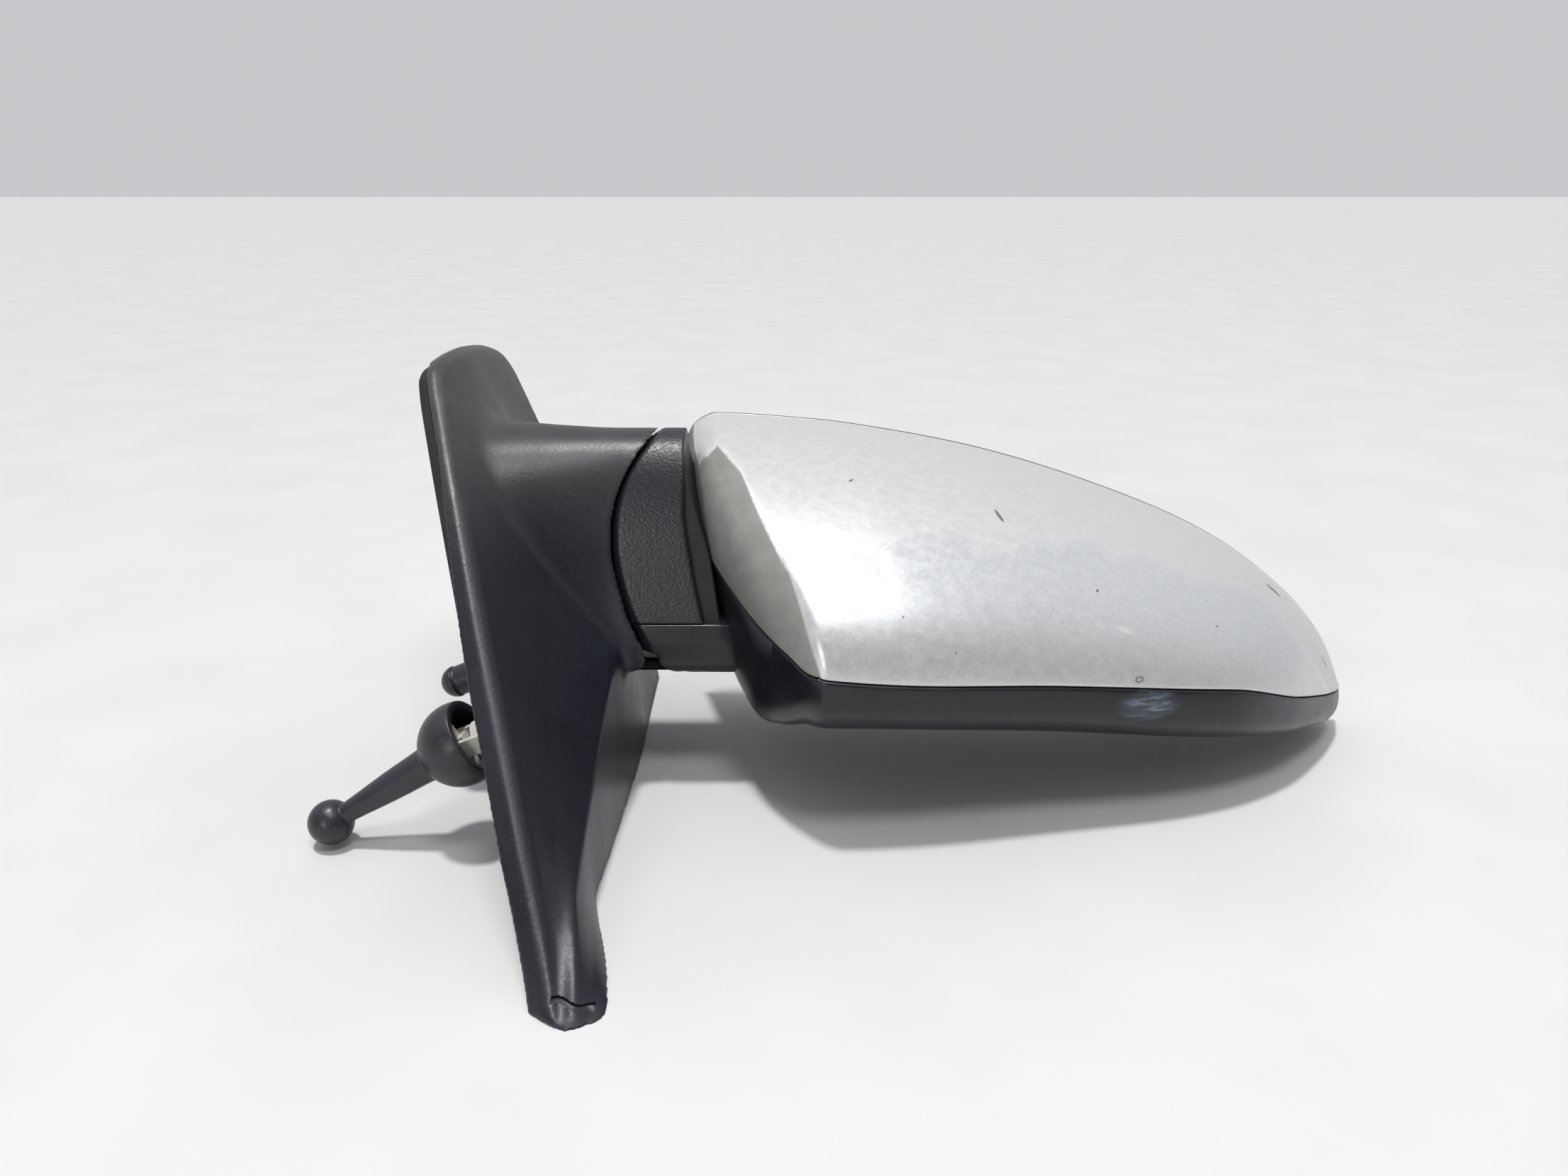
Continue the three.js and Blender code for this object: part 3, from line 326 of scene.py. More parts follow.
def join(objects, name):
    first = objects[0]
    work = bmesh.new()
    for made in objects:
        work.from_mesh(made.data)
    work.to_mesh(first.data)
    work.free()
    for made in objects[1:]:
        bpy.data.objects.remove(made)
    first.name = name
    return first


def carve(made, *cutters):
    for cutter in cutters:
        cut = made.modifiers.new("cut", "BOOLEAN")
        cut.operation = "DIFFERENCE"
        cut.solver = "EXACT"
        cut.object = cutter
    apply_all(made)
    for cutter in cutters:
        bpy.data.objects.remove(cutter)
    return made


def remesh(made, size):
    change = made.modifiers.new("remesh", "REMESH")
    change.mode = "VOXEL"
    change.voxel_size = size * MM
    change.use_smooth_shade = True
    return apply_all(made)


def coordinates(made):
    out = np.empty(len(made.data.vertices) * 3, np.float32)
    made.data.vertices.foreach_get("co", out)
    return out.reshape(-1, 3).astype(float) / MM


def set_coordinates(made, p):
    made.data.vertices.foreach_set("co", (p * MM).astype(np.float32).ravel())
    made.data.update()


def relax(made, steps, weight=None, keep_volume=False):
    """Laplacian smoothing in place. weight is one number per vertex, from 0 to 1."""
    p = coordinates(made)
    ends = np.empty(len(made.data.edges) * 2, np.int32)
    made.data.edges.foreach_get("vertices", ends)
    a, b = ends.reshape(-1, 2).T
    count = np.bincount(a, minlength=len(p)) + np.bincount(b, minlength=len(p))
    share = np.ones(len(p)) if weight is None else weight
    for step in range(steps):
        mean = np.empty_like(p)
        for k in range(3):
            total = np.bincount(a, p[b, k], len(p)) + np.bincount(b, p[a, k], len(p))
            mean[:, k] = total / np.maximum(count, 1)
        pull = 0.6 if not keep_volume or step % 2 == 0 else -0.62
        p += (mean - p) * (pull * share)[:, None]
    set_coordinates(made, p)
    return made


def mark(made, name, values):
    layer = made.data.attributes.get(name) or made.data.attributes.new(name, "FLOAT", "POINT")
    layer.data.foreach_set("value", np.asarray(values, np.float32))


def cylinder(name, x, y, z0, z1, radius, sides=96):
    """An upright cylinder between two heights."""
    turn = np.linspace(0, 2 * math.pi, sides, endpoint=False)
    ring = np.stack([x + radius * np.cos(turn), y + radius * np.sin(turn)], -1)
    points = [(*p, z0) for p in ring] + [(*p, z1) for p in ring]
    faces = grid_faces(2, sides, around=True)
    faces += [tuple(range(sides))[::-1], tuple(range(sides, 2 * sides))]
    return outward(new_object(name, points, faces))


# ---------------------------------------------------------------- shader helpers
class Shader:
    def __init__(self, name):
        self.material = bpy.data.materials.new(name)
        self.material.use_nodes = True
        self.tree = self.material.node_tree
        self.tree.nodes.clear()
        self.out = self.node("ShaderNodeOutputMaterial")
        self.bsdf = self.node("ShaderNodeBsdfPrincipled")
        self.link(self.bsdf.outputs[0], self.out.inputs[0])
        self.where = self.node("ShaderNodeTexCoord").outputs["Object"]

    def node(self, kind, **settings):
        made = self.tree.nodes.new(kind)
        for key, value in settings.items():
            setattr(made, key, value)
        return made

    def link(self, a, b):
        self.tree.links.new(a, b)

    def put(self, socket, value):
        if hasattr(value, "is_linked") or hasattr(value, "links"):
            self.link(value, socket)
        else:
            socket.default_value = value

    def stretch(self, scale):
        made = self.node("ShaderNodeMapping")
        self.link(self.where, made.inputs[0])
        made.inputs["Scale"].default_value = scale
        return made.outputs[0]

    def noise(self, size, detail=2.0, rough=0.5, warp=0.0, where=None):
        """Noise whose features measure about size millimetres."""
        made = self.node("ShaderNodeTexNoise")
        self.link(where or self.where, made.inputs["Vector"])
        made.inputs["Scale"].default_value = 1 / (size * MM)
        made.inputs["Detail"].default_value = detail
        made.inputs["Roughness"].default_value = rough
        made.inputs["Distortion"].default_value = warp
        return made.outputs[0]

    def cells(self, size, feature="F1", output="Distance", where=None):
        made = self.node("ShaderNodeTexVoronoi", feature=feature)
        self.link(where or self.where, made.inputs["Vector"])
        made.inputs["Scale"].default_value = 1 / (size * MM)
        return made.outputs[output]

    def math(self, operation, a, b=0.0):
        made = self.node("ShaderNodeMath", operation=operation)
        self.put(made.inputs[0], a)
        self.put(made.inputs[1], b)
        return made.outputs[0]

    def ramp(self, value, low, high, out_low=0.0, out_high=1.0):
        made = self.node("ShaderNodeMapRange", interpolation_type="SMOOTHSTEP")
        self.put(made.inputs[0], value)
        for i, v in enumerate((low, high, out_low, out_high)):
            made.inputs[1 + i].default_value = v
        return made.outputs[0]

    def mix(self, factor, a, b):
        made = self.node("ShaderNodeMix", data_type="RGBA")
        self.put(made.inputs["Factor"], factor)
        for socket, value in ((made.inputs[6], a), (made.inputs[7], b)):
            if isinstance(value, tuple):
                socket.default_value = (*value, 1) if len(value) == 3 else value
            else:
                self.link(value, socket)
        return made.outputs[2]

    def attribute(self, name):
        made = self.node("ShaderNodeAttribute", attribute_name=name)
        return made.outputs["Fac"]

    def axis(self, k):
        made = self.node("ShaderNodeSeparateXYZ")
        self.link(self.where, made.inputs[0])
        return made.outputs[k]

    def bump(self, height, distance, strength=1.0, below=None):
        made = self.node("ShaderNodeBump")
        made.inputs["Strength"].default_value = strength
        made.inputs["Distance"].default_value = distance * MM
        self.link(height, made.inputs["Height"])
        if below is not None:
            self.link(below, made.inputs["Normal"])
        return made.outputs[0]

    def finish(self, color, rough, metal=0.0, normal=None, **fixed):
        for name, value in (("Base Color", color), ("Roughness", rough), ("Metallic", metal)):
            socket = self.bsdf.inputs[name]
            if isinstance(value, tuple):
                socket.default_value = (*value, 1)
            else:
                self.put(socket, value)
        if normal is not None:
            self.link(normal, self.bsdf.inputs["Normal"])
        for name, value in fixed.items():
            self.bsdf.inputs[name.replace("_", " ")].default_value = value
        return self.material


def moulded(name, base, worn, rough, grain, depth, speck=0.0, top_sheen_and_dust_amount=0.0):
    """Grained plastic: moulded pebbles, faint cloudy dirt, dust specks, fine scratches, and a top made
    lighter by painted sheen and dust.
    """
    s = Shader(name)
    cloud = s.noise(38, 4, 0.6)
    fine = s.noise(grain, 3, 0.55)
    pebble = s.cells(grain * 1.3, "SMOOTH_F1")
    color = s.mix(s.ramp(cloud, 0.35, 0.7), base, tuple(c * 1.28 for c in base))
    color = s.mix(s.ramp(fine, 0.35, 0.75, 0, 0.35), color, tuple(c * 1.9 for c in base))
    dust = s.ramp(s.cells(3.1), 0.06, 0.03, 0, speck)
    color = s.mix(dust, color, (0.42, 0.42, 0.4))
    scratch = s.noise(2.2, 2, 0.6, 1.5, where=s.stretch((0.05, 1.0, 0.35)))
    color = s.mix(s.ramp(scratch, 0.7, 0.78, 0, 0.16), color, worn)
    patchy = s.ramp(s.noise(16, 5, 0.65), 0.25, 0.7, 0.6, 1.0)
    # Painted sheen with dust: the colour grows lighter towards the top of the sail, in patches.
    top_sheen_and_dust = s.math("MULTIPLY", s.ramp(s.axis(2), 0.03, 0.086, 0, top_sheen_and_dust_amount), patchy)
    color = s.mix(top_sheen_and_dust, color, (0.095, 0.09, 0.086))
    roughness = s.ramp(s.math("ADD", s.math("MULTIPLY", cloud, 0.6), s.math("MULTIPLY", fine, 0.4)),
                       0.3, 0.7, rough - 0.07, rough + 0.08)
    height = s.math("ADD", s.math("MULTIPLY", pebble, 0.7), s.math("MULTIPLY", fine, 0.5))
    return s.finish(color, roughness, normal=s.bump(height, depth), Specular_IOR_Level=0.5)


# ---------------------------------------------------------------- housing and cap
def stations():
    return np.unique(np.concatenate([
        np.linspace(41, 46, 14), np.linspace(46, 76, 50), np.linspace(76, 90, 40), np.linspace(90, 240, 120),
        np.linspace(240, 254, 30), np.linspace(254, 258, 16),
    ]))


def roundover(radius, steps=5):
    """(how far along, how far in) pairs round a quarter circle."""
    turn = np.linspace(0, math.pi / 2, steps)
    return [(radius * (1 - math.sin(a)), radius * (1 - math.cos(a))) for a in turn]


def loop_object(name, rings):
    """A solid over closed rings of the same number of points, capped at both ends."""
    grid = np.array(rings)
    count, around = grid.shape[:2]
    faces = grid_faces(count, around, around=True)
    faces += [tuple(range(around))[::-1], tuple((count - 1) * around + k for k in range(around))]
    return outward(new_object(name, grid.reshape(-1, 3), faces))


def make_cap():
    at = stations()
    low = split_angle(at, GAP)
    nudge = head_point(at, low + 0.01) - head_point(at, low)
    per_mm = 1 / np.maximum(np.linalg.norm(nudge, axis=1) / 0.01, 4)
    start = low + 0.7 * per_mm
    rows = [head_point(at, low, CAP_THICK), head_point(at, low, 1.2)]
    rows += [head_point(at, low + along * per_mm, inward) for along, inward in roundover(0.7)[::-1]]
    rows += [head_point(at, start + (math.pi / 2 - start) * t, 0) for t in np.linspace(0, 1, 150)[1:]]
    rows += [head_point(at, math.pi / 2, inward) for inward in (0.25, 0.8, CAP_THICK)]
    grid = np.array(rows)
    back = rim_plane(grid[..., 0]) - CAP_REAR - GAP
    back[:-3] -= 0.25
    grid[..., 1] = np.minimum(grid[..., 1], back)
    made = new_object("cap_skin", grid.reshape(-1, 3), grid_faces(*grid.shape[:2]))
    face_away(made)
    return made


def face_away(made):
    """Turns an open skin's faces away from the middle of the housing."""
    work = bmesh.new()
    work.from_mesh(made.data)
    bmesh.ops.recalc_face_normals(work, faces=work.faces)
    core = Vector((0.14, 0.02, 0.012))
    if sum(f.normal.dot(f.calc_center_median() - core) * f.calc_area() for f in work.faces) < 0:
        bmesh.ops.reverse_faces(work, faces=work.faces)
    work.to_mesh(made.data)
    work.free()


def make_shell():
    at = stations()
    split = split_angle(at)
    right = math.pi / 2
    under = CAP_THICK + GAP
    wall = under + 2.4
    rows = [head_point(at, -right + 2 * right * t, wall) for t in np.linspace(1, 0, 70)]
    for inset, behind in ((wall, -0.4), (wall - 0.5, 0), (0.8, 0), (0.25, -0.2), (0, -0.8)):
        rows.append(head_point(at, -right, inset, behind))
    rows += [head_point(at, -right + (split + right) * t, 0) for t in np.linspace(0, 1, 110)[2:-1]]
    rows += [head_point(at, split, inset) for inset in (0.1, 0.4, 1.2, under)]
    hidden = [head_point(at, split + (right - split) * t, under) for t in np.linspace(0, 1, 60)[1:]]
    for row in hidden:
        row[:, 1] = np.minimum(row[:, 1], rim_plane(row[:, 0]) - CAP_REAR)
    rows += hidden
    for inset, behind in ((0.3, -CAP_REAR), (0, -0.9), (0, -0.4), (0.3, 0), (wall - 0.5, 0)):
        rows.append(head_point(at, right, inset, behind))
    grid = np.array(rows)
    count, along = grid.shape[:2]
    faces = grid_faces(count, along, across=True)
    faces.append(tuple(i * along for i in range(count)))
    faces.append(tuple(i * along + along - 1 for i in range(count))[::-1])
    return outward(new_object("housing_skin", grid.reshape(-1, 3), faces))


# ---------------------------------------------------------------- neck, arm and sail
def clip_section(points, height, above):
    """The part of a closed [y, z] outline on one side of a height, with evenly spaced points."""
    kept = []
    side = 1 if above else -1
    for a, b in zip(points, np.roll(points, -1, axis=0)):
        inside_a, inside_b = side * (a[1] - height) >= 0, side * (b[1] - height) >= 0
        if inside_a:
            kept.append(a)
        if inside_a != inside_b:
            kept.append(a + (b - a) * (height - a[1]) / (b[1] - a[1]))
    p = np.array(kept + [kept[0]])
    length = np.concatenate([[0], np.cumsum(np.linalg.norm(np.diff(p, axis=0), axis=1))])
    steps = np.linspace(0, length[-1], 240, endpoint=False)
    return np.stack([np.interp(steps, length, p[:, k]) for k in range(2)], -1)


def with_x(p, x):
    return np.column_stack([np.broadcast_to(x, len(p)), p[:, 0], p[:, 1]])


def neck_solid(name, section, far_end, dome=0.0):
    """A piece of the neck: from the barrel face to far_end(z), with a flat or a domed end."""
    centre = section.mean(axis=0)
    flare = section.copy()
    for _ in range(3):
        share = np.where(section[:, 0] < FOLD_Y, 1, 0.35)
        grow = 1 + arm_flare(ball_face(flare[:, 0], flare[:, 1], 0)) * share
        flare[:, 0] = FOLD_Y + (section[:, 0] - FOLD_Y) * grow
    rings = []
    for k in np.linspace(0.03, 1, 20):
        p = centre + (flare - centre) * k
        rings.append(with_x(p, ball_face(p[:, 0], p[:, 1], 0)))
    start = ball_face(flare[:, 0], flare[:, 1], 0)
    for t in np.linspace(0, 1, 60)[1:]:
        x = start + (far_end(section[:, 1]) - start) * t
        y = FOLD_Y + (section[:, 0] - FOLD_Y) * (1 + arm_flare(x) * np.where(section[:, 0] < FOLD_Y, 1, 0.35))
        rings.append(np.column_stack([x, y, section[:, 1]]))
    for turn in np.linspace(0, math.pi / 2, 14)[1:]:
        p = centre + (section - centre) * max(math.cos(turn), 0.03)
        rings.append(with_x(p, far_end(p[:, 1]) + dome * math.sin(turn)))
    return loop_object(name, rings)


def arm_solid(section):
    rings = []
    centre = np.array([FOLD_Y, BALL_Z])
    end = np.full(len(section), 20.0)
    for _ in range(4):
        p = flared(section, end)
        end = ball_face(p[:, 0], p[:, 1], FOLD_GAP)
    for t in np.linspace(0, 1, 60):
        x = -16 + (end + 16) * t
        p = flared(section, x)
        rings.append(np.column_stack([x, p[:, 0], p[:, 1]]))
    rim = flared(section, end)
    for k in np.linspace(1, 0.03, 24)[1:]:
        p = centre + (rim - centre) * k
        rings.append(with_x(p, ball_face(p[:, 0], p[:, 1], FOLD_GAP)))
    return loop_object("arm", rings)


def cover_back(y):
    """How far out from the door the cover starts: over the gasket's edge at the nose, beside it above."""
    return 0.6 + (GASKET + GAP - 0.6) * smoothstep(-70, -5, y)


def sail_solid():
    shares = (4, 3, 12, 12, 14, 16, 7, 7, 4, 10)
    rings = []
    at = [np.linspace(-127.5, -120, 14), np.linspace(-119, 56, 150), np.linspace(56.6, 65, 16)]
    for y in np.concatenate(at):
        corner = np.array(cover_section(y, float(cover_back(y))))
        ring = []
        for a, b, count in zip(corner, np.roll(corner, -1, axis=0), shares):
            ring += [a + (b - a) * k / count for k in range(count)]
        rings.append(sail_to_row(np.array(ring)))
    for ring in rings:
        ring[:, 2] = np.maximum(ring[:, 2], FLOOR_Z)
    return loop_object("sail", rings)


def distances(points, tree):
    return np.array([tree.find_nearest(Vector(p * MM))[3] for p in points]) / MM


def make_sail():
    arm = arm_solid(closed_curve(ARM_SECTION, 200))
    sail = sail_solid()
    trees = []
    for made in (arm, sail):
        work = bmesh.new()
        work.from_mesh(made.data)
        bmesh.ops.triangulate(work, faces=work.faces)
        trees.append(BVHTree.FromBMesh(work))
        work.free()
    body = remesh(join([sail, arm], "sail_body"), 0.6)
    p = coordinates(body)
    far = np.maximum(distances(p, trees[0]), distances(p, trees[1]))
    edge = ball_face(p[:, 1], p[:, 2], FOLD_GAP) - p[:, 0]
    near = smoothstep(11, 4, far) * smoothstep(1.5, 6, edge)
    relax(body, 60, near)
    relax(body, 7, np.full(len(p), 0.6))
    slot = NOSE_SLOT_TOP + [(x, z - NOSE_SLOT_HIGH) for x, z in NOSE_SLOT_TOP[::-1]]
    carve(body, loop_object("slot", [np.array([(x, y, z) for x, z in slot]) for y in (-150, NOSE_SLOT_END)]))
    open_back(body)
    return body


def open_back(body):
    """Opens the sail towards the door, over the gasket."""
    c, s = math.cos(SAIL_LEAN), math.sin(SAIL_LEAN)
    work = bmesh.new()
    work.from_mesh(body.data)

    def behind(v):
        return v.co.x * c + v.co.z * s < (float(cover_back(v.co.y / MM)) + 0.3) * MM

    back = [f for f in work.faces if all(behind(v) for v in f.verts)]
    bmesh.ops.delete(work, geom=back, context="FACES")
    work.to_mesh(body.data)
    work.free()


def make_neck():
    section = closed_curve(ARM_SECTION, 400)
    size = 0.5
    cover = remesh(neck_solid("neck_skin", clip_section(section, NECK_SPLIT, True), neck_end), size)
    relax(cover, 5, keep_volume=True)
    chin_section = clip_section(section, NECK_SPLIT - GAP, False)
    chin = neck_solid("neck_chin", chin_section, lambda z: 53.0 + 0.25 * (15 - z), dome=14.0)
    inner = inset_curve(section, 2.4)
    collar_section = clip_section(inner, 12.5, True)
    collar = neck_solid("neck_collar", collar_section, collar_end)
    return cover, chin, collar


def sector(radius, half):
    turn = np.linspace(math.pi - half, math.pi + half, 40)
    ring = [(FOLD_X, FOLD_Y)] + [(FOLD_X + radius * math.cos(a), FOLD_Y + radius * math.sin(a)) for a in turn]
    return loop_object("sector", [np.array([(x, y, z) for x, y in ring]) for z in (-4.6, 6.4)])


def lug_room():
    return [sector(r, math.radians(half)) for r, half in ((19, 80), (23, 65), (60, 57.5))]


# ---------------------------------------------------------------- lever, peg, gasket and glass
def lever_point(p):
    """From the lever's own frame (stalk along -x) to the row."""
    c, s = math.cos(LEVER_DROOP), math.sin(LEVER_DROOP)
    x = p[..., 0] * c - p[..., 2] * s + LEVER_X
    z = p[..., 0] * s + p[..., 2] * c
    return sail_to_row(np.stack([x, p[..., 1] + LEVER_Y, z], -1))


def turned_piece(name, profile, place, sides=96):
    turn = np.linspace(0, 2 * math.pi, sides, endpoint=False)
    rings = []
    for r, s in profile:
        local = np.stack([np.full(sides, -s), r * np.cos(turn), r * np.sin(turn)], -1)
        rings.append(place(local))
    return loop_object(name, rings)


def arc(radius, start, end, steps, middle=0.0):
    turn = np.radians(np.linspace(start, end, steps))
    return [(max(radius * math.sin(a), 0.02), middle + radius * math.cos(a)) for a in turn]


def make_lever():
    stalk = curve([(10.3, 5.3), (11.6, 4.9), (15, 4.6), (21, 4.3), (29, 3.7), (36, 3.1), (39.6, 2.85)])
    inner = arc(DOME_HOLLOW_R, 0.5, 114, 24)
    outer = arc(DOME_R, 111, 27, 40)
    middle = [(float(stalk(s)), s) for s in np.linspace(11.0, 39.6, 40)]
    knob = arc(KNOB_R, 152, 0.3, 40, KNOB_AT)
    made = turned_piece("lever_skin", inner + outer + middle + knob, lever_point)
    centre = sail_to_row(np.array([LEVER_X, LEVER_Y, 0.0]))
    toward = np.array([0.124, -0.404, 0.906])
    toward /= np.linalg.norm(toward)
    p = coordinates(made) - centre
    along = p @ toward
    off = np.linalg.norm(p - along[:, None] * toward, axis=1)
    deep = smoothstep(3.1, 2.2, off) * (along > 10)
    set_coordinates(made, p - toward * (1.5 * deep)[:, None] + centre)
    mark(made, "recess", smoothstep(3.0, 2.2, off) * (along > 8))
    return made


def make_peg():
    foot = [(0.02, -3.5), (2.3, -3.5), (2.3, -2.6), (4.3, -2.6), (PEG_R, -2.3)]
    taper = [(PEG_R - 0.25 * s / PEG_LENGTH, s) for s in np.linspace(-1.5, PEG_LENGTH, 20)]
    tip = arc(PEG_R, 90, 0.5, 16, PEG_LENGTH)
    centre = np.array([0, PEG_Y, PEG_Z])
    return turned_piece("peg_skin", foot + taper + tip, lambda p: sail_to_row(p + centre))


def sail_outline(inset):
    """The sail's outline as (lower, upper) rows of (y, w) at matching stations."""
    y = np.concatenate([
        np.linspace(-124.5, -118, 30), np.linspace(-117.5, 56, 160), np.linspace(56.5, 65, 30),
    ])
    held = np.clip(y, -127.5 + inset, 65 - inset)
    inset = inset + 2.2 * smoothstep(-5, -70, y)
    lower, upper = sail_foot(y) + inset, sail_top(y) - 1.35 * inset
    upper = np.maximum(upper, lower + 0.2)
    held = held + nose_lean(y, 0)
    return np.stack([held, lower], -1), np.stack([held, upper], -1)


def make_gasket():
    rings = []
    for inset, x in ((1.6, 0.0), (1.2, 0.15), (1.1, 0.5), (1.1, 2.3), (1.2, 2.65), (1.6, 2.8)):
        lower, upper = sail_outline(inset)
        ring = np.concatenate([lower, upper[::-1]])
        row = sail_to_row(np.column_stack([np.full(len(ring), x), ring]))
        row[:, 2] = np.maximum(row[:, 2], FLOOR_Z)
        rings.append(row)
    made = loop_object("gasket_skin", rings)
    holes = [(44, 66, 4.1), (46, -26, 4.1), (-84, -27, 4.1), (18, 77, 4.0), (22, -34, 4.0), (-66, -33, 4.0),
             (-52, 0, 10.8), (-20, 7, 4.9)]
    cutters = []
    for y, z, r in holes:
        centre = np.array([0, y, z])
        cutters.append(turned_piece("hole", [(r, 6), (r, -6)], lambda p: sail_to_row(p + centre), 48))
    return carve(made, *cutters)


RIM_AT = np.array([140.0, float(rim_plane(140.0)), 8.0])
RIM_TURN = -math.atan(RIM_SLOPE)


def rim_to_row(p):
    c, s = math.cos(RIM_TURN), math.sin(RIM_TURN)
    x, y, z = p[..., 0], p[..., 1], p[..., 2]
    return np.stack([x * c - y * s, x * s + y * c, z], -1) + RIM_AT


def row_to_rim(p):
    q = p - RIM_AT
    c, s = math.cos(RIM_TURN), math.sin(RIM_TURN)
    return np.stack([q[..., 0] * c + q[..., 1] * s, -q[..., 0] * s + q[..., 1] * c, q[..., 2]], -1)


def plate_rows(inset):
    at = np.linspace(43.4, 242.6, 150)
    low = row_to_rim(head_point(at, -math.pi / 2, inset))
    high = row_to_rim(head_point(at, math.pi / 2, inset))
    t = np.linspace(0, 1, 90)[:, None, None]
    return (low * (1 - t) + high * t)[..., [0, 2]]


def make_plate(name, inset, rear, thick):
    """A flat plate inside the housing's rear opening, in the rim's frame, with a rounded edge."""
    rings = []
    for extra, y in ((0.35, rear - thick), (0.0, rear - thick + 0.35), (0.0, rear - 0.35), (0.35, rear)):
        rows = plate_rows(inset + extra)
        ring = np.concatenate([rows[0], rows[1:-1, -1], rows[-1][::-1], rows[1:-1, 0][::-1]])
        rings.append(rim_to_row(np.column_stack([ring[:, 0], np.full(len(ring), y), ring[:, 1]])))
    made = loop_object(name, rings)
    rims = {key for face in made.data.polygons if len(face.vertices) > 4 for key in face.edge_keys}
    for edge in made.data.edges:
        edge.use_edge_sharp = edge.key in rims
    return made


# ---------------------------------------------------------------- wear on the cap, as [x, z] from the front
# A scratch program cast nearly all of these points from the photo onto the model.
LACQUER_EDGE = [
    (60, 44), (76.7, 42.5), (82.2, 42.5), (85.3, 41.8), (89.1, 42.2), (92.8, 41.6), (96.6, 40.6),
    (98.6, 42.1), (103.2, 44.2), (108.6, 45.2), (116, 45.4), (123.1, 43.5), (126.7, 41.9), (130.6, 40.7),
    (134.5, 39.8), (138.3, 40.5), (143.3, 41.1), (147.7, 40.6), (151, 39.6), (155, 39.9), (159.7, 39.6),
    (162.5, 38.7), (164.6, 36.8), (167.4, 34.7), (169, 35.3), (173.6, 35.1), (178.1, 34.2), (182.3, 32.3),
    (186.2, 30.4), (189.8, 28.6), (193.2, 27), (198.4, 26.6), (202.1, 24.8), (207.6, 22.6), (213.5, 20.8),
    (217.4, 18.1), (220.9, 14.9), (227, 8), (236, -4), (250, -24),
]
PEEL_EDGE = [
    (36, 66), (43.5, 61.7), (45.2, 58), (47, 55.7), (48.2, 57.8), (49.6, 58.5),
    (52.6, 61.2), (56.3, 59.5), (60.4, 57.2), (62.9, 54.1), (64.2, 52), (67.8, 47.1),
    (72, 41.2), (74.3, 38.7), (77, 32.2), (79.6, 24.2), (82.2, 16.4), (84.5, 5),
]


def side_of(line, x, z):
    """Signed distance from a line drawn over x: positive above it."""
    a, b = np.array(line[:-1], float), np.array(line[1:], float)
    p = np.stack([x, z], -1)[:, None]
    along = b - a
    t = np.clip(((p - a) * along).sum(-1) / (along ** 2).sum(-1), 0, 1)
    near = np.linalg.norm(p - a - along * t[..., None], axis=-1).min(axis=1)
    over = np.interp(x, [k[0] for k in line], [k[1] for k in line])
    return near * np.sign(z - over)


def mark_wear(made):
    p = coordinates(made)
    mark(made, "lacquer", side_of(LACQUER_EDGE, p[:, 0], p[:, 2]))
    peel = -side_of(PEEL_EDGE, p[:, 0], p[:, 2])
    mark(made, "peel", np.where(p[:, 0] > 84.5, -20, peel))


# ---------------------------------------------------------------- finishes
def spot(s, at, half, across, turn=0.0, soft=0.6):
    """1 inside an oval on the front: at (x, z), half lengths along and across, turned in degrees."""
    place = s.node("ShaderNodeMapping", vector_type="TEXTURE")
    s.link(s.where, place.inputs[0])
    place.inputs["Location"].default_value = (at[0] * MM, 0, at[1] * MM)
    place.inputs["Rotation"].default_value = (0, math.radians(-turn), 0)
    place.inputs["Scale"].default_value = (half * MM, 1000, across * MM)
    reach = s.node("ShaderNodeVectorMath", operation="LENGTH")
    s.link(place.outputs[0], reach.inputs[0])
    return s.ramp(reach.outputs["Value"], 1.0, soft)


def most(s, *values):
    total = values[0]
    for value in values[1:]:
        total = s.math("MAXIMUM", total, value)
    return total


CHARCOAL = (0.0095, 0.0108, 0.0165)
NECK_BLACK = (0.0115, 0.0125, 0.0185)
GLOSS_BLACK = (0.008, 0.009, 0.012)


def grained_charcoal():
    return moulded("sail_plastic", CHARCOAL, (0.1, 0.1, 0.11), 0.4, 0.75, 0.035, speck=0.12, top_sheen_and_dust_amount=0.6)


def lever_grain():
    return moulded("lever_plastic", (0.022, 0.0215, 0.028), (0.09, 0.09, 0.1), 0.4, 0.9, 0.08, speck=0.1)


def leather_grain():
    s = Shader("neck_plastic")
    cloud = s.noise(30, 4, 0.6)
    pebble = s.cells(0.8, "SMOOTH_F1")
    fine = s.noise(0.4, 2, 0.5)
    color = s.mix(s.ramp(cloud, 0.35, 0.7), NECK_BLACK, (0.02, 0.021, 0.028))
    color = s.mix(s.ramp(pebble, 0.25, 0.6, 0, 0.4), color, (0.012, 0.012, 0.015))
    rough = s.ramp(s.math("ADD", pebble, s.math("MULTIPLY", cloud, 0.3)), 0.2, 0.9, 0.32, 0.48)
    height = s.math("ADD", s.math("MULTIPLY", pebble, -1.0), s.math("MULTIPLY", fine, 0.3))
    return s.finish(color, rough, normal=s.bump(height, 0.09), Specular_IOR_Level=0.62)


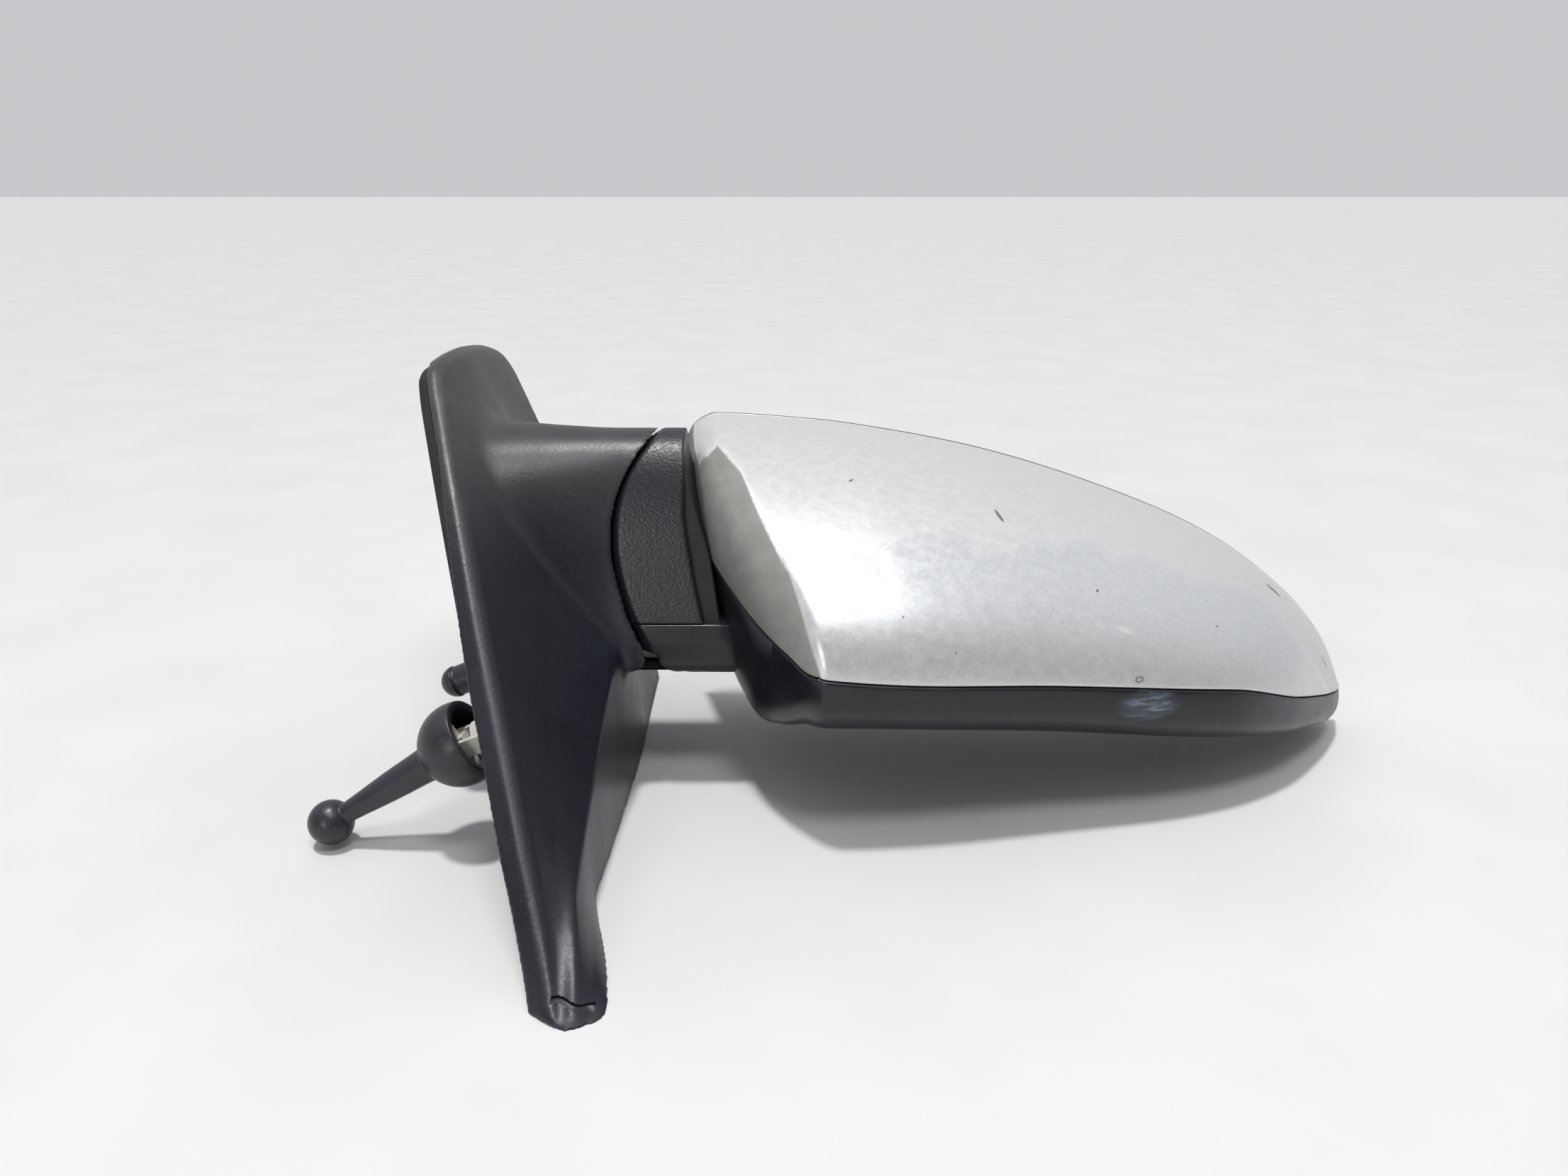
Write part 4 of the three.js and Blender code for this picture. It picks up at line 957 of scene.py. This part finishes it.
def gloss_black():
    s = Shader("shell_plastic")
    cloud = s.noise(45, 5, 0.62)
    haze = s.noise(9, 4, 0.65)
    scuff = s.noise(1.3, 3, 0.6, 0.4, where=s.stretch((0.06, 1.0, 0.9)))
    color = s.mix(s.ramp(cloud, 0.4, 0.75, 0, 0.7), GLOSS_BLACK, (0.016, 0.017, 0.022))
    color = s.mix(s.ramp(haze, 0.55, 0.8, 0, 0.3), color, (0.035, 0.038, 0.048))
    worn = s.math("MULTIPLY", s.ramp(scuff, 0.68, 0.78, 0, 0.25), s.ramp(cloud, 0.45, 0.6))
    color = s.mix(worn, color, (0.13, 0.135, 0.15))
    patch = s.math("MULTIPLY", spot(s, (173, 1), 11, 5.5, -3, 0.3), s.ramp(scuff, 0.42, 0.7, 0.1, 0.5))
    color = s.mix(patch, color, (0.36, 0.42, 0.56))
    far = s.math("MULTIPLY", s.ramp(s.axis(0), 0.196, 0.222), s.ramp(haze, 0.3, 0.6, 0.25, 0.55))
    color = s.mix(far, color, (0.09, 0.095, 0.11))
    dust = s.ramp(s.cells(2.6), 0.05, 0.025, 0, 0.35)
    color = s.mix(dust, color, (0.4, 0.4, 0.4))
    blend = s.math("ADD", s.math("MULTIPLY", haze, 0.7), s.math("MULTIPLY", cloud, 0.3))
    rough = s.ramp(blend, 0.3, 0.7, 0.24, 0.42)
    fine = s.noise(0.8, 2, 0.5)
    return s.finish(color, rough, normal=s.bump(fine, 0.012), Specular_IOR_Level=0.5)


def silver_paint():
    """Metallic paint: no lacquer above a wavy line, no paint on the inner side, and a painted highlight along
    the edge of the bare inner side.
    """
    s = Shader("cap_paint")
    flake = s.node("ShaderNodeSeparateColor")
    s.link(s.cells(0.32, "F1", "Color"), flake.inputs[0])
    cloud = s.noise(26, 4, 0.6)
    ragged = s.math("MULTIPLY", s.math("SUBTRACT", s.noise(1.6, 3, 0.6), 0.5), 1.1)
    lacquer = s.math("ADD", s.attribute("lacquer"), ragged)
    bare = s.ramp(lacquer, -0.15, 0.25)
    lip = s.math("MULTIPLY", s.ramp(lacquer, -2.4, -0.3), s.ramp(lacquer, 0.25, 0.0))
    peel = s.ramp(s.math("ADD", s.attribute("peel"), ragged), -0.05, 0.25)
    peel_edge = s.attribute("peel")
    # Painted highlight: a thin light line along the peel edge stands for the glint on the crease.
    painted_crease_highlight = s.math("MULTIPLY", s.ramp(peel_edge, -1.2, -0.1), s.ramp(peel_edge, 0.5, 0.1))

    color = s.mix(s.ramp(flake.outputs[0], 0.1, 0.95), (0.62, 0.63, 0.64), (0.71, 0.72, 0.73))
    color = s.mix(s.ramp(cloud, 0.35, 0.7, 0, 0.15), color, (0.62, 0.63, 0.645))
    dull = s.mix(s.ramp(flake.outputs[0], 0.1, 0.95), (0.62, 0.63, 0.615), (0.68, 0.69, 0.675))
    color = s.mix(bare, color, dull)
    color = s.mix(s.math("MULTIPLY", lip, 0.42), color, (0.74, 0.75, 0.75))
    blotch = s.ramp(s.noise(5, 4, 0.6), 0.3, 0.7)
    primer = s.mix(blotch, (0.235, 0.242, 0.225), (0.275, 0.282, 0.262))
    color = s.mix(peel, color, primer)
    # The painted crease highlight, laid along the peel edge.
    color = s.mix(s.math("MULTIPLY", painted_crease_highlight, 0.4), color, (0.85, 0.86, 0.85))
    # The same scratch program gave the places of the larger chips, the ring and the scuff.
    chips = most(s, spot(s, (134.3, 46.1), 1.9, 0.5, -48), spot(s, (225.5, 15.6), 3.8, 0.3, -40),
                 spot(s, (159.7, 29.5), 0.5, 0.4), spot(s, (241.9, -6), 3.2, 0.25, -57),
                 spot(s, (104, 29), 0.35, 0.3), spot(s, (118, 20), 0.3, 0.3),
                 spot(s, (92, 55), 0.9, 0.2, 10), spot(s, (196, 17), 0.35, 0.3))
    color = s.mix(s.math("MULTIPLY", chips, 0.8), color, (0.09, 0.09, 0.08))
    outer = spot(s, (169.7, 8.6), 1.3, 0.9, 0, 0.9)
    ring = s.math("SUBTRACT", outer, spot(s, (169.7, 8.6), 0.8, 0.5, 0, 0.9))
    color = s.mix(s.math("MULTIPLY", ring, 0.7), color, (0.1, 0.1, 0.09))
    streak = s.noise(1.2, 3, 0.6, 0.8, where=s.stretch((0.1, 1.0, 0.6)))
    scuffed = s.math("MULTIPLY", spot(s, (166, 20.5), 9, 1.6, -8, 0.2), s.ramp(streak, 0.45, 0.6, 0, 0.8))
    color = s.mix(scuffed, color, (0.85, 0.86, 0.86))
    fleck = s.ramp(s.cells(6.5), 0.035, 0.02, 0, 0.7)
    color = s.mix(fleck, color, (0.18, 0.18, 0.17))

    plain = s.ramp(s.noise(3, 4, 0.6), 0.3, 0.7, 0.3, 0.42)
    rough = s.math("ADD", plain, s.math("MULTIPLY", bare, 0.08))
    rough = s.math("MAXIMUM", rough, s.math("MULTIPLY", peel, 0.62))
    shine = s.math("SUBTRACT", 0.5, s.math("MULTIPLY", bare, 0.1))
    metal = s.math("MULTIPLY", s.math("SUBTRACT", 1.0, peel), shine)
    step = s.math("ADD", s.math("MULTIPLY", bare, -1.0), s.math("MULTIPLY", peel, -1.5))
    normal = s.bump(step, 0.05, below=s.bump(flake.outputs[1], 0.003))
    return s.finish(color, rough, metal, normal)


def simple(name, low, high, rough, grain, depth, metal=0.0, **fixed):
    """A cloudy two-tone surface with a little grain."""
    s = Shader(name)
    cloud = s.noise(14, 4, 0.6)
    fine = s.noise(grain, 3, 0.6)
    color = s.mix(s.ramp(cloud, 0.3, 0.7), low, high)
    color = s.mix(s.ramp(fine, 0.55, 0.8, 0, 0.35), color, tuple(min(c * 1.7, 0.95) for c in high))
    roughness = s.ramp(fine, 0.3, 0.7, rough - 0.06, rough + 0.08)
    return s.finish(color, roughness, metal, normal=s.bump(fine, depth), **fixed)


finish = {
    "textured_plastic": grained_charcoal(),
    "grained_plastic": leather_grain(),
    "black_plastic": gloss_black(),
    "silver_paint": silver_paint(),
    "soft_rubber": simple("rubber", (0.008, 0.008, 0.009), (0.016, 0.016, 0.018), 0.8, 0.5, 0.03),
    "nylon": simple("nylon", (0.62, 0.6, 0.54), (0.7, 0.685, 0.63), 0.45, 0.6, 0.012),
    "mirror_coating": simple("mirror", (0.78, 0.81, 0.83), (0.82, 0.84, 0.86), 0.08, 6, 0.0004, metal=1.0),
}

# ---------------------------------------------------------------- pieces on their bodies
def put(piece, body, slot, *nodes, look=None):
    piece.data.materials.clear()
    piece.data.materials.append(look or finish[slot])
    piece.data.shade_smooth()
    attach(piece, body)
    for node in nodes:
        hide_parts(node)


cap = make_cap()
mark_wear(cap)
shell = make_shell()
neck_cover, chin, collar = make_neck()
carve(shell, cylinder("foot_room", FOLD_X, FOLD_Y, -60, 32.5, FOOT_ROOM_R), *lug_room())
carve(chin, cylinder("foot_room", FOLD_X, FOLD_Y, -60, 32.5, FOOT_ROOM_R), *lug_room())
carve(collar, cylinder("foot_room", FOLD_X, FOLD_Y, -60, 40, FOOT_ROOM_R))
remesh(chin, 0.5)
relax(chin, 5, keep_volume=True)
sail_body = make_sail()

put(cap, "head", "silver_paint", "mirror_cap")
put(shell, "head", "black_plastic", "housing_shell")
put(chin, "head", "black_plastic")
collar_look = simple("collar", (0.0065, 0.0052, 0.0048), (0.012, 0.0096, 0.0088), 0.5, 1.4, 0.02)
put(collar, "head", "carrier_plastic", look=collar_look)
put(neck_cover, "head", "grained_plastic", "neck_cover")
put(sail_body, "base", "textured_plastic", "sail_cover")
put(make_gasket(), "base", "soft_rubber", "door_gasket")
lever_look = lever_grain()
put(make_lever(), "lever", "textured_plastic", "adjusting_lever", look=lever_look)
put(make_peg(), "base", "textured_plastic", "locating_peg", look=lever_look)
put(make_plate("glass_skin", GLASS_INSET, GLASS_FACE, GLASS_THICK), "glass", "mirror_coating", "mirror_glass")

# Every CAD node that still shows has the nylon finish, although the record gives most of them another slot.
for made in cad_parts.values():
    made.data.materials.clear()
    made.data.materials.append(finish["nylon"])

# ---------------------------------------------------------------- floor, light and camera
def pale_floor():
    s = Shader("pale_floor")
    cloud = s.noise(60, 3, 0.5)
    color = s.mix(s.ramp(cloud, 0.3, 0.7), (0.66, 0.665, 0.66), (0.69, 0.695, 0.69))
    return s.finish(color, 0.7)


bpy.ops.mesh.primitive_plane_add(size=12, location=(0, 0, (FLOOR_Z - 0.02) * MM))
floor = bpy.context.object
floor.name = "floor"
floor.data.materials.append(pale_floor())

sun = bpy.data.objects.new("sun", bpy.data.lights.new("sun", "SUN"))
sun.data.energy = 2.0
sun.data.specular_factor = 0.5
sun.data.angle = math.radians(5.5)
sun.rotation_euler = Vector((-0.10, -0.03, 1.0)).to_track_quat("Z", "Y").to_euler()
bpy.context.scene.collection.objects.link(sun)

lamp_at, lamp_on = Vector((0.24, -0.58, 1.28)), Vector((0.085, -0.045, 0.033))
lamp = bpy.data.objects.new("softbox", bpy.data.lights.new("softbox", "AREA"))
lamp.data.shape = "ELLIPSE"
lamp.data.size, lamp.data.size_y = 0.34, 0.3
lamp.data.energy = 4.2
lamp.data.diffuse_factor = 0.2
lamp.location = lamp_at
lamp.rotation_euler = (lamp_at - lamp_on).to_track_quat("Z", "Y").to_euler()
bpy.context.scene.collection.objects.link(lamp)

low_at, low_on = Vector((-0.30, -0.92, 0.27)), Vector((0.045, -0.01, 0.02))
low_lamp = bpy.data.objects.new("low_softbox", bpy.data.lights.new("low_softbox", "AREA"))
low_lamp.data.shape = "RECTANGLE"
low_lamp.data.size, low_lamp.data.size_y = 0.3, 0.1
low_lamp.data.energy = 1.6
low_lamp.data.diffuse_factor = 0.15
low_lamp.location = low_at
low_lamp.rotation_euler = (low_at - low_on).to_track_quat("Z", "Y").to_euler()
bpy.context.scene.collection.objects.link(low_lamp)


def studio():
    """A pale studio: bright overhead and beyond the object, darker on the viewer's side."""
    world = bpy.data.worlds.new("studio")
    world.use_nodes = True
    tree = world.node_tree
    where = tree.nodes.new("ShaderNodeTexCoord")
    axes = tree.nodes.new("ShaderNodeSeparateXYZ")
    tree.links.new(where.outputs["Generated"], axes.inputs[0])
    lift = tree.nodes.new("ShaderNodeMath")
    lift.operation = "MULTIPLY_ADD"
    tree.links.new(axes.outputs["Z"], lift.inputs[0])
    lift.inputs[1].default_value = 0.8
    tree.links.new(axes.outputs["Y"], lift.inputs[2])
    ramp = tree.nodes.new("ShaderNodeMapRange")
    ramp.interpolation_type = "SMOOTHSTEP"
    tree.links.new(lift.outputs[0], ramp.inputs[0])
    for i, value in enumerate((-0.55, 0.7, 0.1, 0.6)):
        ramp.inputs[1 + i].default_value = value
    light = tree.nodes["Background"]
    light.inputs["Color"].default_value = (0.95, 0.97, 1.0, 1)
    tree.links.new(ramp.outputs[0], light.inputs["Strength"])
    bpy.context.scene.world = world


studio()
bpy.context.scene.view_settings.view_transform = "Standard"

camera = bpy.data.objects.new("camera", bpy.data.cameras.new("camera"))
camera.location = (0.0727, -0.335, 0.1419)
camera.rotation_euler = (math.radians(70), 0, 0)
camera.data.lens = 27.016
camera.data.sensor_width = 36
camera.data.clip_start = 0.01
bpy.context.scene.collection.objects.link(camera)
bpy.context.scene.camera = camera
